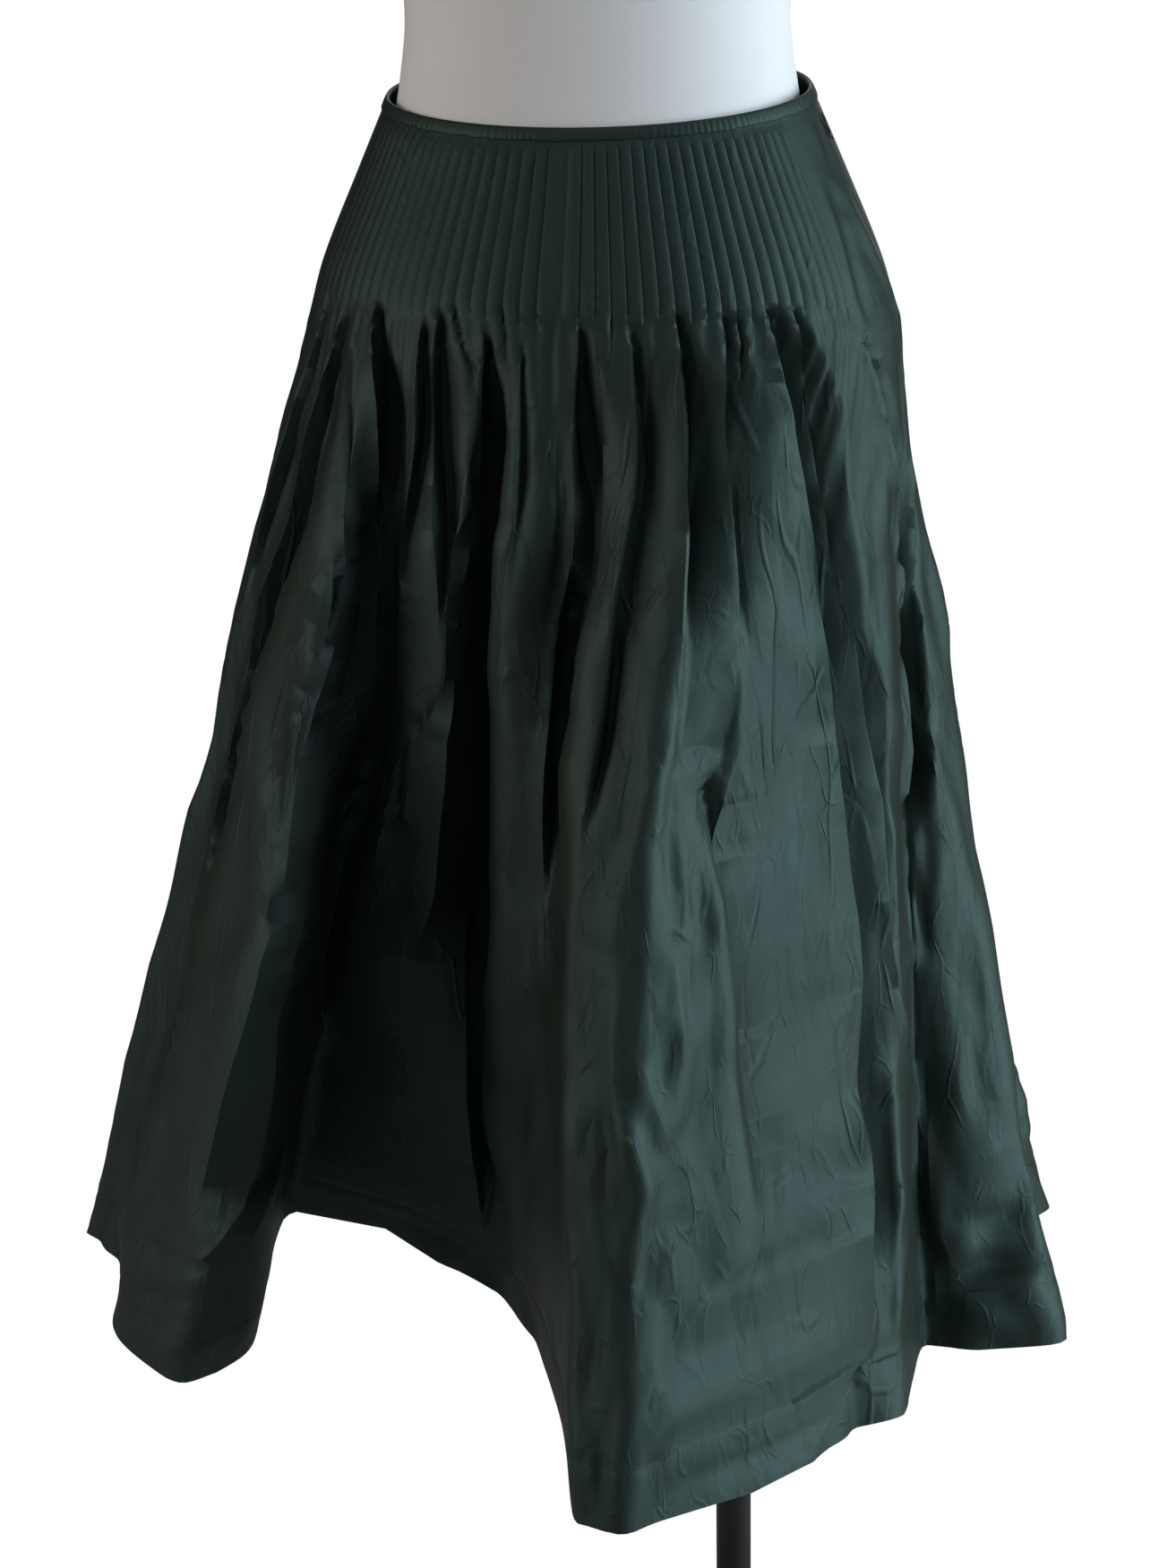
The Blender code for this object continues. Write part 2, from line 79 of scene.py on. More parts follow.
# ---------------------------------------------------------------- the skirt's sizes
CLOTH_WALL = 0.0008
HEM_WALL = 0.0017
SEAM_LAP = 0.0002
YOKE_DROP = 0.135
KNEE_DROP = 0.450
HEM_DROP = 0.800
HEM_BAND_DROP = 0.764

YOKE_SECTIONS = (
    # drop, half_width, half_depth
    (0.000, 0.130, 0.100),
    (0.040, 0.148, 0.113),
    (0.100, 0.174, 0.133),
    (0.135, 0.184, 0.141),
)

TUCKS_PER_QUARTER = 20
TUCK_PITCH = 3.2           # degrees
PLAIN_HALF = 0.7           # degrees of plain cloth each side of a middle
MIDDLE_SHIFT = 2.6         # degrees from the middle front to the middle of the tucks
TUCK_TOP = 0.008
TUCK_FULL = 0.014
TUCK_END = 0.113
TUCK_RELEASE = 0.127
TUCK_UNEVENNESS = 0.006    # how much the tucks differ in length
TUCK_PROFILE = (
    # share of the pitch, share of the height: a flap whose folded edge hangs over the next
    (-0.03, 0.00),
    (0.05, 0.30),
    (0.50, 0.72),
    (0.93, 1.00),
    (1.01, 0.72),
)

# Each row is one fold line, in order round the skirt. Angles are degrees from
# the middle front, growing towards the wearer's left; radii are from the
# skirt's axis, in millimetres as the lifts are. yoke: where the line leaves the tucks.
FOLD_LINES = in_metres((2, 4, 5), (
    # yoke, knee_angle, knee_radius, hem_angle, hem_radius, hem_lift
    (-92, -96, 222, -100, 255, 10),            # valley at the right side seam
    (-78, -78, 274, -89, 391, 0),              # right side fold
    (-64, -69, 252, -82, 345, 0),
    (-56, -51, 258, -65, 348, 0),              # right front fold, outer edge
    (-48, -37, 260, -48, 319, 0),              # right front fold, face
    (-41, -37, 237, -54, 259, 0),
    (-37, -47, 204, -70, 242, 0),
    (-33, -53, 181, -81, 233, 45),             # hollow beside it
    (-28, -41, 174, -81, 183, 45),
    (-21, -34, 163, -70, 145, 40),
    (-14, -24, 159, -58, 119, 30),
    (-11, -34, 130, -50, 105, 25),             # narrow deep trough
    (-9, -26, 121, -46, 94, 15),
    (-5, -13, 157, -36, 89, 10),
    (1, -2, 161, -15, 109, 0),                 # side of the centre fold
    (7, 3, 168, 4, 206, 0),
    (12, 7, 217, 9, 320, 0),
    (28, 19, 241, 14, 331, 0),                 # ridge of the centre fold
    (45, 33, 217, 31, 295, 0),                 # broad face of the centre fold
    (57, 48, 196, 39, 275, 0),
    (68, 59, 197, 48, 259, 0),
    (80, 76, 202, 57, 269, 0),
    (86, 93, 191, 76, 224, 0),                 # tucked behind that face
    (98, 96, 213, 78, 263, 0),                 # left side fold
    (105, 104, 238, 84, 315, 0),
    (116, 118, 205, 104, 235, 12),
    (128, 128, 245, 121, 335, 0),              # rear folds
    (140, 140, 240, 134, 330, 0),
    (151, 150, 192, 148, 215, 12),
    (166, 166, 238, 164, 335, 0),
    (179, 179, 233, 178, 326, 0),
    (195, 194, 186, 195, 205, 14),
    (211, 211, 237, 211, 332, 0),
    (223, 224, 246, 223, 342, 0),
    (238, 238, 198, 237, 228, 12),
    (254, 252, 250, 250, 338, 0),
))
FOLD_ROUNDING = 2.0        # degrees over which a fold line is rounded

# Gaps between the gathers below the tucks of the front panel. The gather on a gap's left ends in
# a crisp edge over it, the one on its right rises softly out of it.
FRONT_GAPS = in_metres((0, 1, 2, 3), (
    # floor, flank, depth, crest, places as (drop, angle) from top to end
    (2, 8, 9, 1, ((112, -59), (186, -66), (260, -70), (330, -71))),
    (3, 14, 11, 1.5, ((120, -48), (168, -54), (208, -58), (286, -61), (348, -62), (416, -65), (520, -64))),
    (1, 12, 4, 0.5, ((130, -45), (200, -43), (280, -38))),
    (7, 10, 17, 3, ((112, -37), (168, -34), (234, -32), (302, -31), (362, -30), (454, -33), (508, -34),
                    (620, -33))),
    (3, 5, 10, 1.5, ((236, -35), (278, -39), (330, -40), (350, -43), (400, -47))),
    (4, 6, 12, 2.5, ((120, -25), (198, -25), (254, -28), (350, -31))),
    (5, 9, 12, 2.5, ((112, -22), (186, -21), (260, -18), (330, -17))),
    (1, 3, 6, 0.8, ((108, -19), (130, -16), (155, -13), (190, -13))),
    (9, 6, 19, 3, ((124, -12), (170, -10), (224, -9), (342, -9), (432, -9), (554, -10), (640, -10),
                   (760, -9))),
    (1, 3, 6, 0.8, ((108, -9), (146, -6), (180, -6))),
    (1, 4, 7, 1, ((130, -4), (224, -3), (280, -3))),
    (7, 10, 14, 2.5, ((118, 6), (172, 7), (202, 8), (235, 10), (260, 9), (312, 6), (374, 5), (480, 4))),
    (1, 4, 6, 1, ((110, 12), (150, 12), (180, 12))),
    (4, 12, 11, 2.5, ((118, 16), (178, 19), (210, 20), (272, 18), (354, 17), (430, 15))),
    (6, 9, 14, 3, ((110, 25), (176, 28), (240, 31), (330, 32))),
    (3, 9, 10, 2.5, ((110, 33), (182, 36), (212, 38), (274, 43), (330, 45))),
    (2, 3, 8, 1.5, ((114, 37), (182, 39), (212, 41))),
    (7, 14, 20, 5, ((110, 43), (154, 47), (208, 53), (264, 58), (300, 61), (356, 64), (396, 67), (436, 68),
                    (498, 71), (600, 72), (740, 74))),
    (4, 9, 17, 4.5, ((112, 50), (184, 56), (240, 63), (300, 69), (362, 73), (426, 76), (500, 78),
                     (580, 81))),
    (6, 7, 16, 4.5, ((134, 68), (184, 78), (252, 85), (330, 89), (430, 87), (500, 88))),
    (3, 6, 9, 2, ((220, 96), (280, 99), (340, 95))),
))
GAP_WALL = 0.0020          # width of the crisp edge's drop
GAP_RISE, GAP_OPEN, GAP_FADE = 0.012, 0.075, 0.080
GAP_SLIT = 0.42            # share of its depth that a gap has at its narrow top
GAP_FLANK = 2.6            # how much wider than in the table the flanks lie
COLUMN_CROWDING = 2.6      # how much closer the columns lie at a gap
CREASE_LEAST = 0.0065      # narrower ones would fall between the columns
CREASE_FADE = 0.030        # over which a crease fades out at its ends
# Creases more aslant than so many degrees a metre, all in all or somewhere, cross the columns.
SLANTED, BENT = 55.0, 130.0
SLANTED_LEAST = 0.0095
REAR_WIDEST = 84           # gaps and creases further to the side than this have no like behind

# Creases that run down the skirt: ridges where the height is above 0, valleys where it is under 0.
LONG_CREASES = in_metres((0, 1, 2), (
    # height, left_width, right_width, places as (drop, angle) from top to end
    (5, 15, 20, ((320, -61), (400, -58), (470, -58), (594, -59), (652, -56), (750, -59))),
    (3, 10, 8, ((328, -48), (392, -47), (460, -46))),
    (-5, 8, 10, ((342, -53), (404, -51), (452, -47), (510, -46))),
    (4, 12, 10, ((470, -46), (538, -48), (586, -47), (630, -48), (700, -43))),
    (3, 6, 6, ((338, -23), (380, -26), (452, -28), (504, -28))),
    (-3, 5, 4, ((370, -25), (444, -25), (486, -23))),
    (-4, 6, 6, ((330, -22), (398, -21), (478, -23))),
    (3, 6, 6, ((340, -20), (388, -20), (450, -23))),
    (-3, 4, 3, ((352, -19), (406, -18), (440, -16))),
    (-4, 10, 6, ((298, 18), (354, 17), (400, 16))),
    (4, 15, 18, ((270, 28), (324, 28), (382, 27), (432, 24), (486, 22), (502, 25), (526, 23), (560, 22))),
    (1.5, 8, 6, ((314, 29), (370, 31), (406, 34), (450, 35))),
    (2, 10, 8, ((360, 35), (410, 40), (448, 42), (488, 45))),
    (1.6, 4, 7, ((402, 33), (448, 36), (506, 40), (582, 44))),
    (1.4, 4, 6, ((480, 34), (552, 36), (610, 37))),
    (-7, 12, 10, ((350, 36), (402, 41), (466, 45), (526, 48), (584, 50), (640, 51))),
    (6, 22, 8, ((300, 59), (384, 64), (454, 67), (534, 69), (586, 69), (644, 70), (750, 73))),
    (-8, 14, 30, ((480, 52), (520, 53), (560, 55), (610, 59), (660, 63))),
    (2.5, 12, 8, ((300, 68), (362, 72), (442, 74), (524, 76), (558, 81), (610, 83))),
    (4, 15, 10, ((370, 89), (426, 98), (474, 101), (592, 103), (660, 102))),
    (3, 12, 12, ((555, 22), (580, 28), (614, 30), (640, 26), (664, 30), (690, 30), (722, 25))),
    (2, 6, 10, ((580, 17), (626, 17), (644, 19), (680, 25))),
    (3, 8, 10, ((530, 28), (578, 32), (612, 37), (640, 38))),
    (-6, 10, 8, ((546, 28), (588, 31), (632, 37), (676, 41), (715, 42))),
    (-3, 8, 7, ((612, 30), (640, 31), (672, 30))),
    (2, 6, 8, ((650, 53), (682, 56), (710, 60), (772, 70))),
    (-4, 8, 6, ((696, 46), (732, 47), (760, 48), (800, 47))),
    (-2, 4, 3, ((730, 41), (800, 41))),
    (3, 8, 6, ((550, 79), (638, 86), (705, 88))),
    (3, 10, 10, ((716, 34), (740, 34), (752, 30), (798, 29))),
    (-2.2, 6, 4, ((12, 84), (26, 84), (44, 82), (58, 80))),
    (2.6, 6, 6, ((60, 82), (90, 84), (120, 90), (192, 97), (254, 94))),
    (-2.2, 7, 4, ((36, 78), (68, 75), (98, 72), (130, 71))),
    (1.6, 6, 6, ((50, 71), (80, 70), (110, 68), (140, 70))),
))
# Creases that run any way.
SHORT_CREASES = in_metres((0, 2, 4, 5), (
    # drop_from, angle_from, drop_to, angle_to, height, half_width
    (278, 46, 268, 57, 1.8, 5),
    (250, 24, 224, 27, 1.4, 4),
    (136, 38, 130, 42, 1, 3),
    (158, 40, 152, 44, 1, 4),
    (504, -23, 470, -19, -2.5, 6),
    (470, -19, 494, -16, -2.5, 6),
    (507, -28, 505, -23, -3, 5),
    (358, 0, 342, 11, -3, 6),
    (390, 46, 393, 51, -2, 5),
    (396, 65, 390, 69, -2.5, 4),
    (380, 66, 376, 71, 2, 6),
    (450, 68, 450, 73, 2.5, 6),
    (556, 90, 540, 82, 3, 8),
    (598, -35, 642, -30, 3.5, 7),
    (648, -23, 696, -27, -3, 6),
    (732, -26, 730, -20, -2.5, 6),
    (760, -28, 746, -17, -2, 6),
    (702, -54, 684, -45, -3, 6),
    (716, -55, 708, -48, -4.5, 7),
    (752, -55, 726, -46, -3.5, 6),
    (760, -53, 744, -46, -2.5, 5),
    (692, 93, 676, 102, 2.5, 6),
    (722, 93, 720, 104, -3.5, 8),
    (757, 93, 746, 103, -8, 10),
    (752, 103, 770, 102, 6, 8),
    (770, 102, 796, 105, 6, 9),
    (776, 97, 794, 103, 4, 7),
    (770, 58, 773, 71, -3, 4),
    (760, 71, 758, 80, -3, 5),
    (734, 35, 750, 32, 2.2, 6),
    (690, 79, 694, 88, -2, 4),
    (470, 16, 478, 22, -2.5, 5),
    (286, -62, 284, -52, -2.5, 5),
    (312, -61, 300, -48, -2.5, 6),
    (270, -52, 252, -40, -2, 5),
    (236, -8, 240, 2, -2, 5),
    (48, 74, 58, 84, 2.2, 5),
    (58, 76, 70, 83, -2.2, 5),
    (76, 74, 70, 84, 1.6, 5),
    (20, 76, 34, 84, 1.2, 5),
    (92, 76, 100, 85, -1.4, 5),
    (18, 9, 4, 22, 0.5, 4),
    (66, 28, 36, 49, 0.6, 5),
    (86, 16, 66, 28, 0.6, 5),
    (64, 47, 42, 67, 0.6, 5),
    (96, 40, 60, 62, 0.6, 5),
    (52, 8, 30, 24, 0.5, 4),
))

# ---------------------------------------------------------------- the cloth's rows and columns
ROW_STRETCHES = (
    # from_drop, to_drop, rows
    (0.000, 0.014, 6),
    (0.014, 0.108, 18),
    (0.108, 0.190, 38),
    (0.190, 0.7635, 164),
    (0.7635, 0.7650, 2),
    (0.7650, 0.800, 8),
)
PLAIN_COLUMNS = 2          # beside a middle
SEAM_COLUMNS = 24          # beside a side seam
HEM_EVENNESS = 0.75        # how far the columns spread evenly along the hem
SPREAD_START, SPREAD_END = 0.185, 0.420
CREASE_ANGLE = 48.0        # degrees between faces from which a fold is drawn sharp
SIM_TOP, SIM_STEP = 0.128, 0.0062
SIM_COLUMN_STEP = 2
SIM_FRAMES = 18
SIM_HOLD, SIM_PIN = 0.3, 2.0

# ---------------------------------------------------------------- the waist binding, stitches and zip
BINDING_PROFILE = in_metres((0, 1), (
    # drop, out: round the folded strip, from its lower edge outside over the top to the one inside
    (6.8, 0.1),
    (7, 0.7),
    (6.2, 1.1),
    (3.5, 1.2),
    (0.8, 1.1),
    (-0.4, 0.7),
    (-0.9, -0.4),
    (-0.4, -1.5),
    (0.8, -1.9),
    (3.5, -2),
    (6, -1.8),
    (6.2, -1),
    (3.5, -1),
    (-0.1, -0.9),
    (-0.1, 0.1),
    (3.5, 0.1),
))
BINDING_TICKS = 196        # small gathers in the binding, all round
BINDING_COLUMNS = 1176
BINDING_ROUND = 0.032      # length of the strip's profile on its UV map
BINDING_TICK = 0.00035     # height of the small gathers
STITCH_SPACING = 0.0034
STITCH_SIZE = (0.00045, 0.00045, 0.0024)
HEM_STITCH_DROP = 0.7625
HEM_GROOVE, HEM_PUCKER = 0.0007, 0.0011
ZIP_TOP, ZIP_END = 0.004, 0.074
ZIP_TAPE_HALF = 0.007
ZIP_TAPE_WALL = 0.0006
ZIP_INSIDE = 0.0006        # from the cloth's inner face to the tape
ZIP_ROWS = 40
COIL_SPACING = 0.0013
COIL_SIZE = (0.0012, 0.0026, 0.0009)
PULL_WALL = 0.0011
PULL_OUTLINE = (
    # along, half_width
    (0.00, 0.0007), (0.06, 0.0013), (0.18, 0.0017), (0.35, 0.0018), (0.55, 0.0021),
    (0.75, 0.0024), (0.90, 0.0020), (1.00, 0.0009),
)
PULL_PROFILE = (
    # share from outline to hole, depth share
    (0.00, 0.25), (0.00, 0.75), (0.10, 1.00), (0.88, 1.00),
    (1.00, 0.80), (1.00, 0.20), (0.88, 0.00), (0.10, 0.00),
)

# ---------------------------------------------------------------- the stand
EDGE_STEPS = 6
STAND_SIDES = 128

# ---------------------------------------------------------------- the form
FORM_SECTIONS = in_metres((0, 1, 2, 3), (
    # height above the waist edge, half_width, front_depth, back_depth
    (-270, 142, 94, 104),
    (-255, 150, 100, 112),
    (-200, 162, 110, 120),
    (-140, 161, 112, 117),
    (-85, 150, 109, 107),
    (-40, 136, 104, 95),
    (-14, 126.5, 99.7, 89),
    (12, 121.5, 94, 85),
    (45, 118, 90, 83),
    (85, 121, 91, 86),
    (150, 133, 104, 96),
    (200, 143, 123, 99),
    (245, 145, 119, 101),
    (300, 146, 96, 101),
    (345, 150, 78, 95),
    (375, 147, 66, 85),
    (398, 120, 58, 74),
    (415, 82, 52, 63),
    (432, 56, 50, 54),
    (470, 51, 50, 50),
))
FORM_FULLNESS = 0.97
FORM_SIDES = 144
FORM_ROWS = 110

# ---------------------------------------------------------------- the view
FRAME_HEIGHT = 1751        # of the picture, in its own pixels
FOCAL_PIXELS = 3400
VIEW_AZIMUTH = 14.0        # degrees, from the front towards the wearer's left
VIEW_PITCH = 17.5          # degrees, looking down
VIEW_ROLL = 0.96           # degrees
VIEW_DISTANCE = 1.9
VIEW_ASIDE = 0.013
VIEW_ABOVE_WAIST = 0.155

# ---------------------------------------------------------------- finishes and lights
CELL_KINDS = (
    # cells a metre, height of the facets, half width and height of the lines between them
    ((24.0, 24.0, 8.0), 0.0060, 0.050, 0.00060),
    ((50.0, 50.0, 22.0), 0.0030, 0.070, 0.00028),
)
THREAD_HEIGHT = 0.00009
# Painted shade: faces turned from the camera are darkened and browned by this tone.
TURNED_FACE_SHADE = (0.66, 0.52, 0.38, 1.0)      # of faces that are turned away
GLOSS_TINT = (0.56, 0.96, 0.96, 1.0)
SHEEN_TINT = (0.50, 0.86, 0.81, 1.0)
GRAINS = {
    # roughness, grains a metre, contrast of colour, spread of roughness, height
    "white_jersey": (0.80, (1500.0, 1500.0, 700.0), 0.05, 0.10, 0.00006),
    "black_powder_coat": (0.42, (900.0, 900.0, 900.0), 0.25, 0.12, 0.00004),
    "green_thread": (0.55, (3000.0, 3000.0, 3000.0), 0.5, 0.10, 0.00005),
    "zip_tape_weave": (0.75, (1800.0, 1800.0, 2600.0), 0.4, 0.10, 0.00008),
    "dark_nickel": (0.34, (600.0, 600.0, 600.0), 0.3, 0.20, 0.00002),
}
FLOOR_GLOW = 1.07          # makes the floor white to the camera alone
LIGHTS = (
    # name, azimuth, elevation, distance, width and height, colour
    ("key", 89.0, 6.0, 2.4, (1.7, 2.8), (0.87, 0.96, 1.0)),
    ("fill", -56.0, 12.0, 2.7, (1.8, 1.8), (1.0, 0.88, 0.77)),
    ("top", 4.0, 52.0, 2.2, (1.2, 1.2), (0.92, 0.97, 1.0)),
    ("back", 188.0, 18.0, 2.8, (2.2, 2.2), (0.94, 0.97, 1.0)),
)


# ================================================================ sizes and colours a user sets
def number_setting(name, description, default, **limits):
    return FloatProperty(name=name, description=description, default=default, min=0.0, **limits)


def power_setting(name, description, default):
    return number_setting(name, description, default, subtype="POWER", unit="POWER")


def colour_setting(name, description, default):
    return FloatVectorProperty(name=name, description=description, default=default, subtype="COLOR", size=3)


class ClothSettings(bpy.types.PropertyGroup):
    tuck_height: number_setting("Tuck height", "Height of a pin tuck's folded edge", 0.0014, unit="LENGTH")
    puff: number_setting("Gather puff", "Height of the small gathers under the tucks", 0.0026, unit="LENGTH")
    lean: number_setting("Gather lean", "How far the gathers' edges lean over the gaps", 0.9)
    growth: number_setting("Growth", "How much the cloth grows before it buckles", 0.030, max=0.2)
    stiffness: number_setting("Stiffness", "Bending stiffness of the taffeta", 2.0)
    crumple: number_setting("Crumples", "Strength of the creases all over the cloth", 1.0)
    warp: colour_setting("Warp", "Colour of the threads that run down", (0.0125, 0.0245, 0.0232))
    weft: colour_setting("Weft", "Colour of the threads that run across", (0.019, 0.024, 0.0175))
    roughness: number_setting("Roughness", "Roughness of the taffeta", 0.54, max=1.0)
    sheen: number_setting("Sheen", "Weight of the soft glow at grazing angles", 0.03, max=1.0)


class StandSettings(bpy.types.PropertyGroup):
    jersey: colour_setting("Jersey", "Colour of the form's cover", (0.80, 0.82, 0.86))
    metal: colour_setting("Metal", "Colour of the stand's powder coat", (0.012, 0.012, 0.013))
    base_edge: number_setting("Base edge", "Rounding of the base plate's rim", 0.0025, unit="LENGTH")


class StageSettings(bpy.types.PropertyGroup):
    key_power: power_setting("Key power", "Power of the cool soft light", 83.0)
    fill_power: power_setting("Fill power", "Power of the warm weak light", 28.0)
    top_power: power_setting("Top power", "Power of the small light above the front", 4.5)
    back_power: power_setting("Back power", "Power of the soft light behind the skirt", 24.0)
    sky: number_setting("Sky", "Strength of the even light all round", 0.022)
    floor: colour_setting("Floor", "Colour of the floor", (0.35, 0.35, 0.35))


# ================================================================ reading the tables
def smoothstep(value):
    value = np.clip(value, 0.0, 1.0)
    return value * value * (3.0 - 2.0 * value)


def table_at(table, key, part):
    """Smoothly read one column of a table at an array of keys."""
    keys = np.array([row[0] for row in table])
    values = np.array([row[part] for row in table])
    last = len(table) - 1
    low = np.clip(np.searchsorted(keys, key, side="right") - 1, 0, last - 1)
    high = low + 1
    before, after = np.maximum(low - 1, 0), np.minimum(low + 2, last)
    span = keys[high] - keys[low]
    share = (key - keys[low]) / span
    slope_low = (values[high] - values[before]) / (keys[high] - keys[before]) * span
    slope_high = (values[after] - values[low]) / (keys[after] - keys[low]) * span
    squared, cubed = share ** 2, share ** 3
    return ((2 * cubed - 3 * squared + 1) * values[low] + (3 * squared - 2 * cubed) * values[high]
            + (cubed - 2 * squared + share) * slope_low + (cubed - squared) * slope_high)


def yoke_plan(angle, drop):
    """Plan position of the yoke's cloth, from the skirt's axis."""
    drop = np.clip(drop, 0.0, YOKE_DROP)
    turn = np.radians(angle)
    half_width = table_at(YOKE_SECTIONS, drop, 1)
    half_depth = table_at(YOKE_SECTIONS, drop, 2)
    return np.stack((half_width * np.sin(turn), -half_depth * np.cos(turn)), -1)


def fold_line(angle):
    """Knee point, hem point and hem lift at an array of angles, rounded at the fold lines."""
    rows = FOLD_LINES + ((FOLD_LINES[0][0] + 360.0,) + FOLD_LINES[0][1:],)
    keys = [row[0] for row in rows]
    parts = []
    for angle_part in (1, 3):
        turns = np.radians([row[angle_part] for row in rows])
        radii = np.array([row[angle_part + 1] for row in rows])
        parts += [radii * np.sin(turns), -radii * np.cos(turns)]
    parts.append([row[5] for row in rows])
    offsets = np.linspace(-1.0, 1.0, 7)
    weights = 1.0 - np.abs(offsets) * 0.8
    total = 0.0
    for offset, weight in zip(offsets, weights):
        turned = (angle + offset * FOLD_ROUNDING - keys[0]) % 360.0 + keys[0]
        total = total + weight * np.stack([np.interp(turned, keys, part) for part in parts], -1)
    return total / weights.sum()


def fall_plan(angle, drop, line):
    """Plan position below the yoke: a smooth curve from yoke to knee to hem."""
    share = ((drop - YOKE_DROP) / (HEM_DROP - YOKE_DROP))[..., None]
    at_knee = (KNEE_DROP - YOKE_DROP) / (HEM_DROP - YOKE_DROP)
    yoke_weight = (share - at_knee) * (share - 1.0) / at_knee
    knee_weight = share * (1.0 - share) / (at_knee * (1.0 - at_knee))
    hem_weight = share * (share - at_knee) / (1.0 - at_knee)
    return (yoke_weight * yoke_plan(angle, np.full_like(drop, YOKE_DROP))
            + knee_weight * line[..., 0:2] + hem_weight * line[..., 2:4])


def tuck_edges():
    """Angles of all the tucks' folded edges, round the ring."""
    edges = []
    for middle, shift in ((0.0, MIDDLE_SHIFT), (180.0, 0.0)):
        for side in (-1, 1):
            for index in range(TUCKS_PER_QUARTER + 1):
                away = PLAIN_HALF + index * TUCK_PITCH
                edges.append(middle + side * away + shift * (1.0 - away / 90.0) ** 2)
    return np.array(edges)


def with_rear(rows, snapped=False):
    """The front's rows, and the same again behind with their angles and sizes changed a little."""
    behind = []
    for index, (*sizes, places) in enumerate(rows):
        if abs(places[0][1]) > REAR_WIDEST:
            continue
        drift = 3.0 * math.sin(2.4 * index + 0.7)
        size = 1.0 + 0.25 * math.sin(1.3 * index + 2.0)
        moved = tuple((drop, 180.0 + 0.96 * angle + drift * (1.0 + 2.0 * (drop - 0.11)))
                      for drop, angle in places)
        behind.append((*[value * size for value in sizes], moved))
    rows = (*rows, *behind)
    return tuple(start_at_edge(row) for row in rows) if snapped else rows


def start_at_edge(gap):
    """A gap that starts under the tucks, moved to start at the nearest tuck's folded edge."""
    (top, angle), *rest = gap[-1]
    if top > TUCK_RELEASE:
        return gap
    edges = tuck_edges()
    edge = float(edges[np.argmin(np.abs(edges - angle))])
    return (*gap[:-1], ((top, edge), (TUCK_RELEASE + 0.006, edge + 0.15 * (rest[0][1] - edge)), *rest))


def cloth_per_degree(angle, drop):
    """Metres of cloth in one degree, level along the ring."""
    return np.linalg.norm(fallen_cloth(angle + 0.5, drop) - fallen_cloth(angle - 0.5, drop), axis=-1)


def gap_centre(places, drop):
    """Angle of a gap's floor line or a crease's line at a drop, a little rounded at its places."""
    drops, angles = zip(*places)
    offsets = np.linspace(-0.012, 0.012, 5)
    return sum(np.interp(drop + offset, drops, angles) for offset in offsets) / len(offsets)


def gap_envelopes(places, drop):
    """How deep and how wide a gap is at a drop, as shares of its full depth and width."""
    end = smoothstep((places[-1][0] - drop) / GAP_FADE)
    wide = smoothstep((drop - places[0][0]) / GAP_OPEN) * end
    deep = smoothstep((drop - places[0][0]) / GAP_RISE) * end
    return deep * (GAP_SLIT + (1.0 - GAP_SLIT) * wide), wide


def level_away(angle, centre, scale):
    """Level distance in metres from an angle, for places near it."""
    return np.clip((angle - centre + 180.0) % 360.0 - 180.0, -25.0, 25.0) * scale


def gathers(angle, drop):
    """How far the gaps draw the cloth in, and how far the crisp edges stand out and lean over."""
    scale = cloth_per_degree(angle, drop)
    drawn, crest = np.zeros_like(angle), np.zeros_like(angle)
    for floor, flank, depth, height, places in ALL_GAPS:
        away = level_away(angle, gap_centre(places, drop), scale)
        deep, wide = gap_envelopes(places, drop)
        half = 0.5 * floor * wide
        wall = np.clip((-away - half) / GAP_WALL, 0.0, 1.0)
        slope = np.clip((away - half) / (GAP_FLANK * flank * (0.28 + 0.72 * wide)), 0.0, 1.0)
        shape = np.where(away < 0, 1.0 - wall, (1.0 - slope) ** 1.4)
        drawn = np.maximum(drawn, depth * shape * deep)
        beside = (away + half + GAP_WALL + 0.001) / 0.0034
        crest = np.maximum(crest, height * np.exp(-beside ** 2) * deep)
    return drawn, crest


def crowding(angle, drop):
    """How densely the columns are wanted: 1 on plain cloth, more at the gaps."""
    scale = cloth_per_degree(angle, drop)
    near = np.zeros_like(angle)
    for floor, *_, places in ALL_GAPS:
        away = level_away(angle, gap_centre(places, drop), scale) / (0.5 * floor + 0.004)
        near = np.maximum(near, np.exp(-away ** 2) * gap_envelopes(places, drop)[0])
    return scale * (1.0 + COLUMN_CROWDING * near)


def is_slanted(places):
    slants = [abs(high[1] - low[1]) / (high[0] - low[0]) for low, high in zip(places, places[1:])]
    whole = abs(places[-1][1] - places[0][1]) / (places[-1][0] - places[0][0])
    return whole > SLANTED or max(slants) > BENT


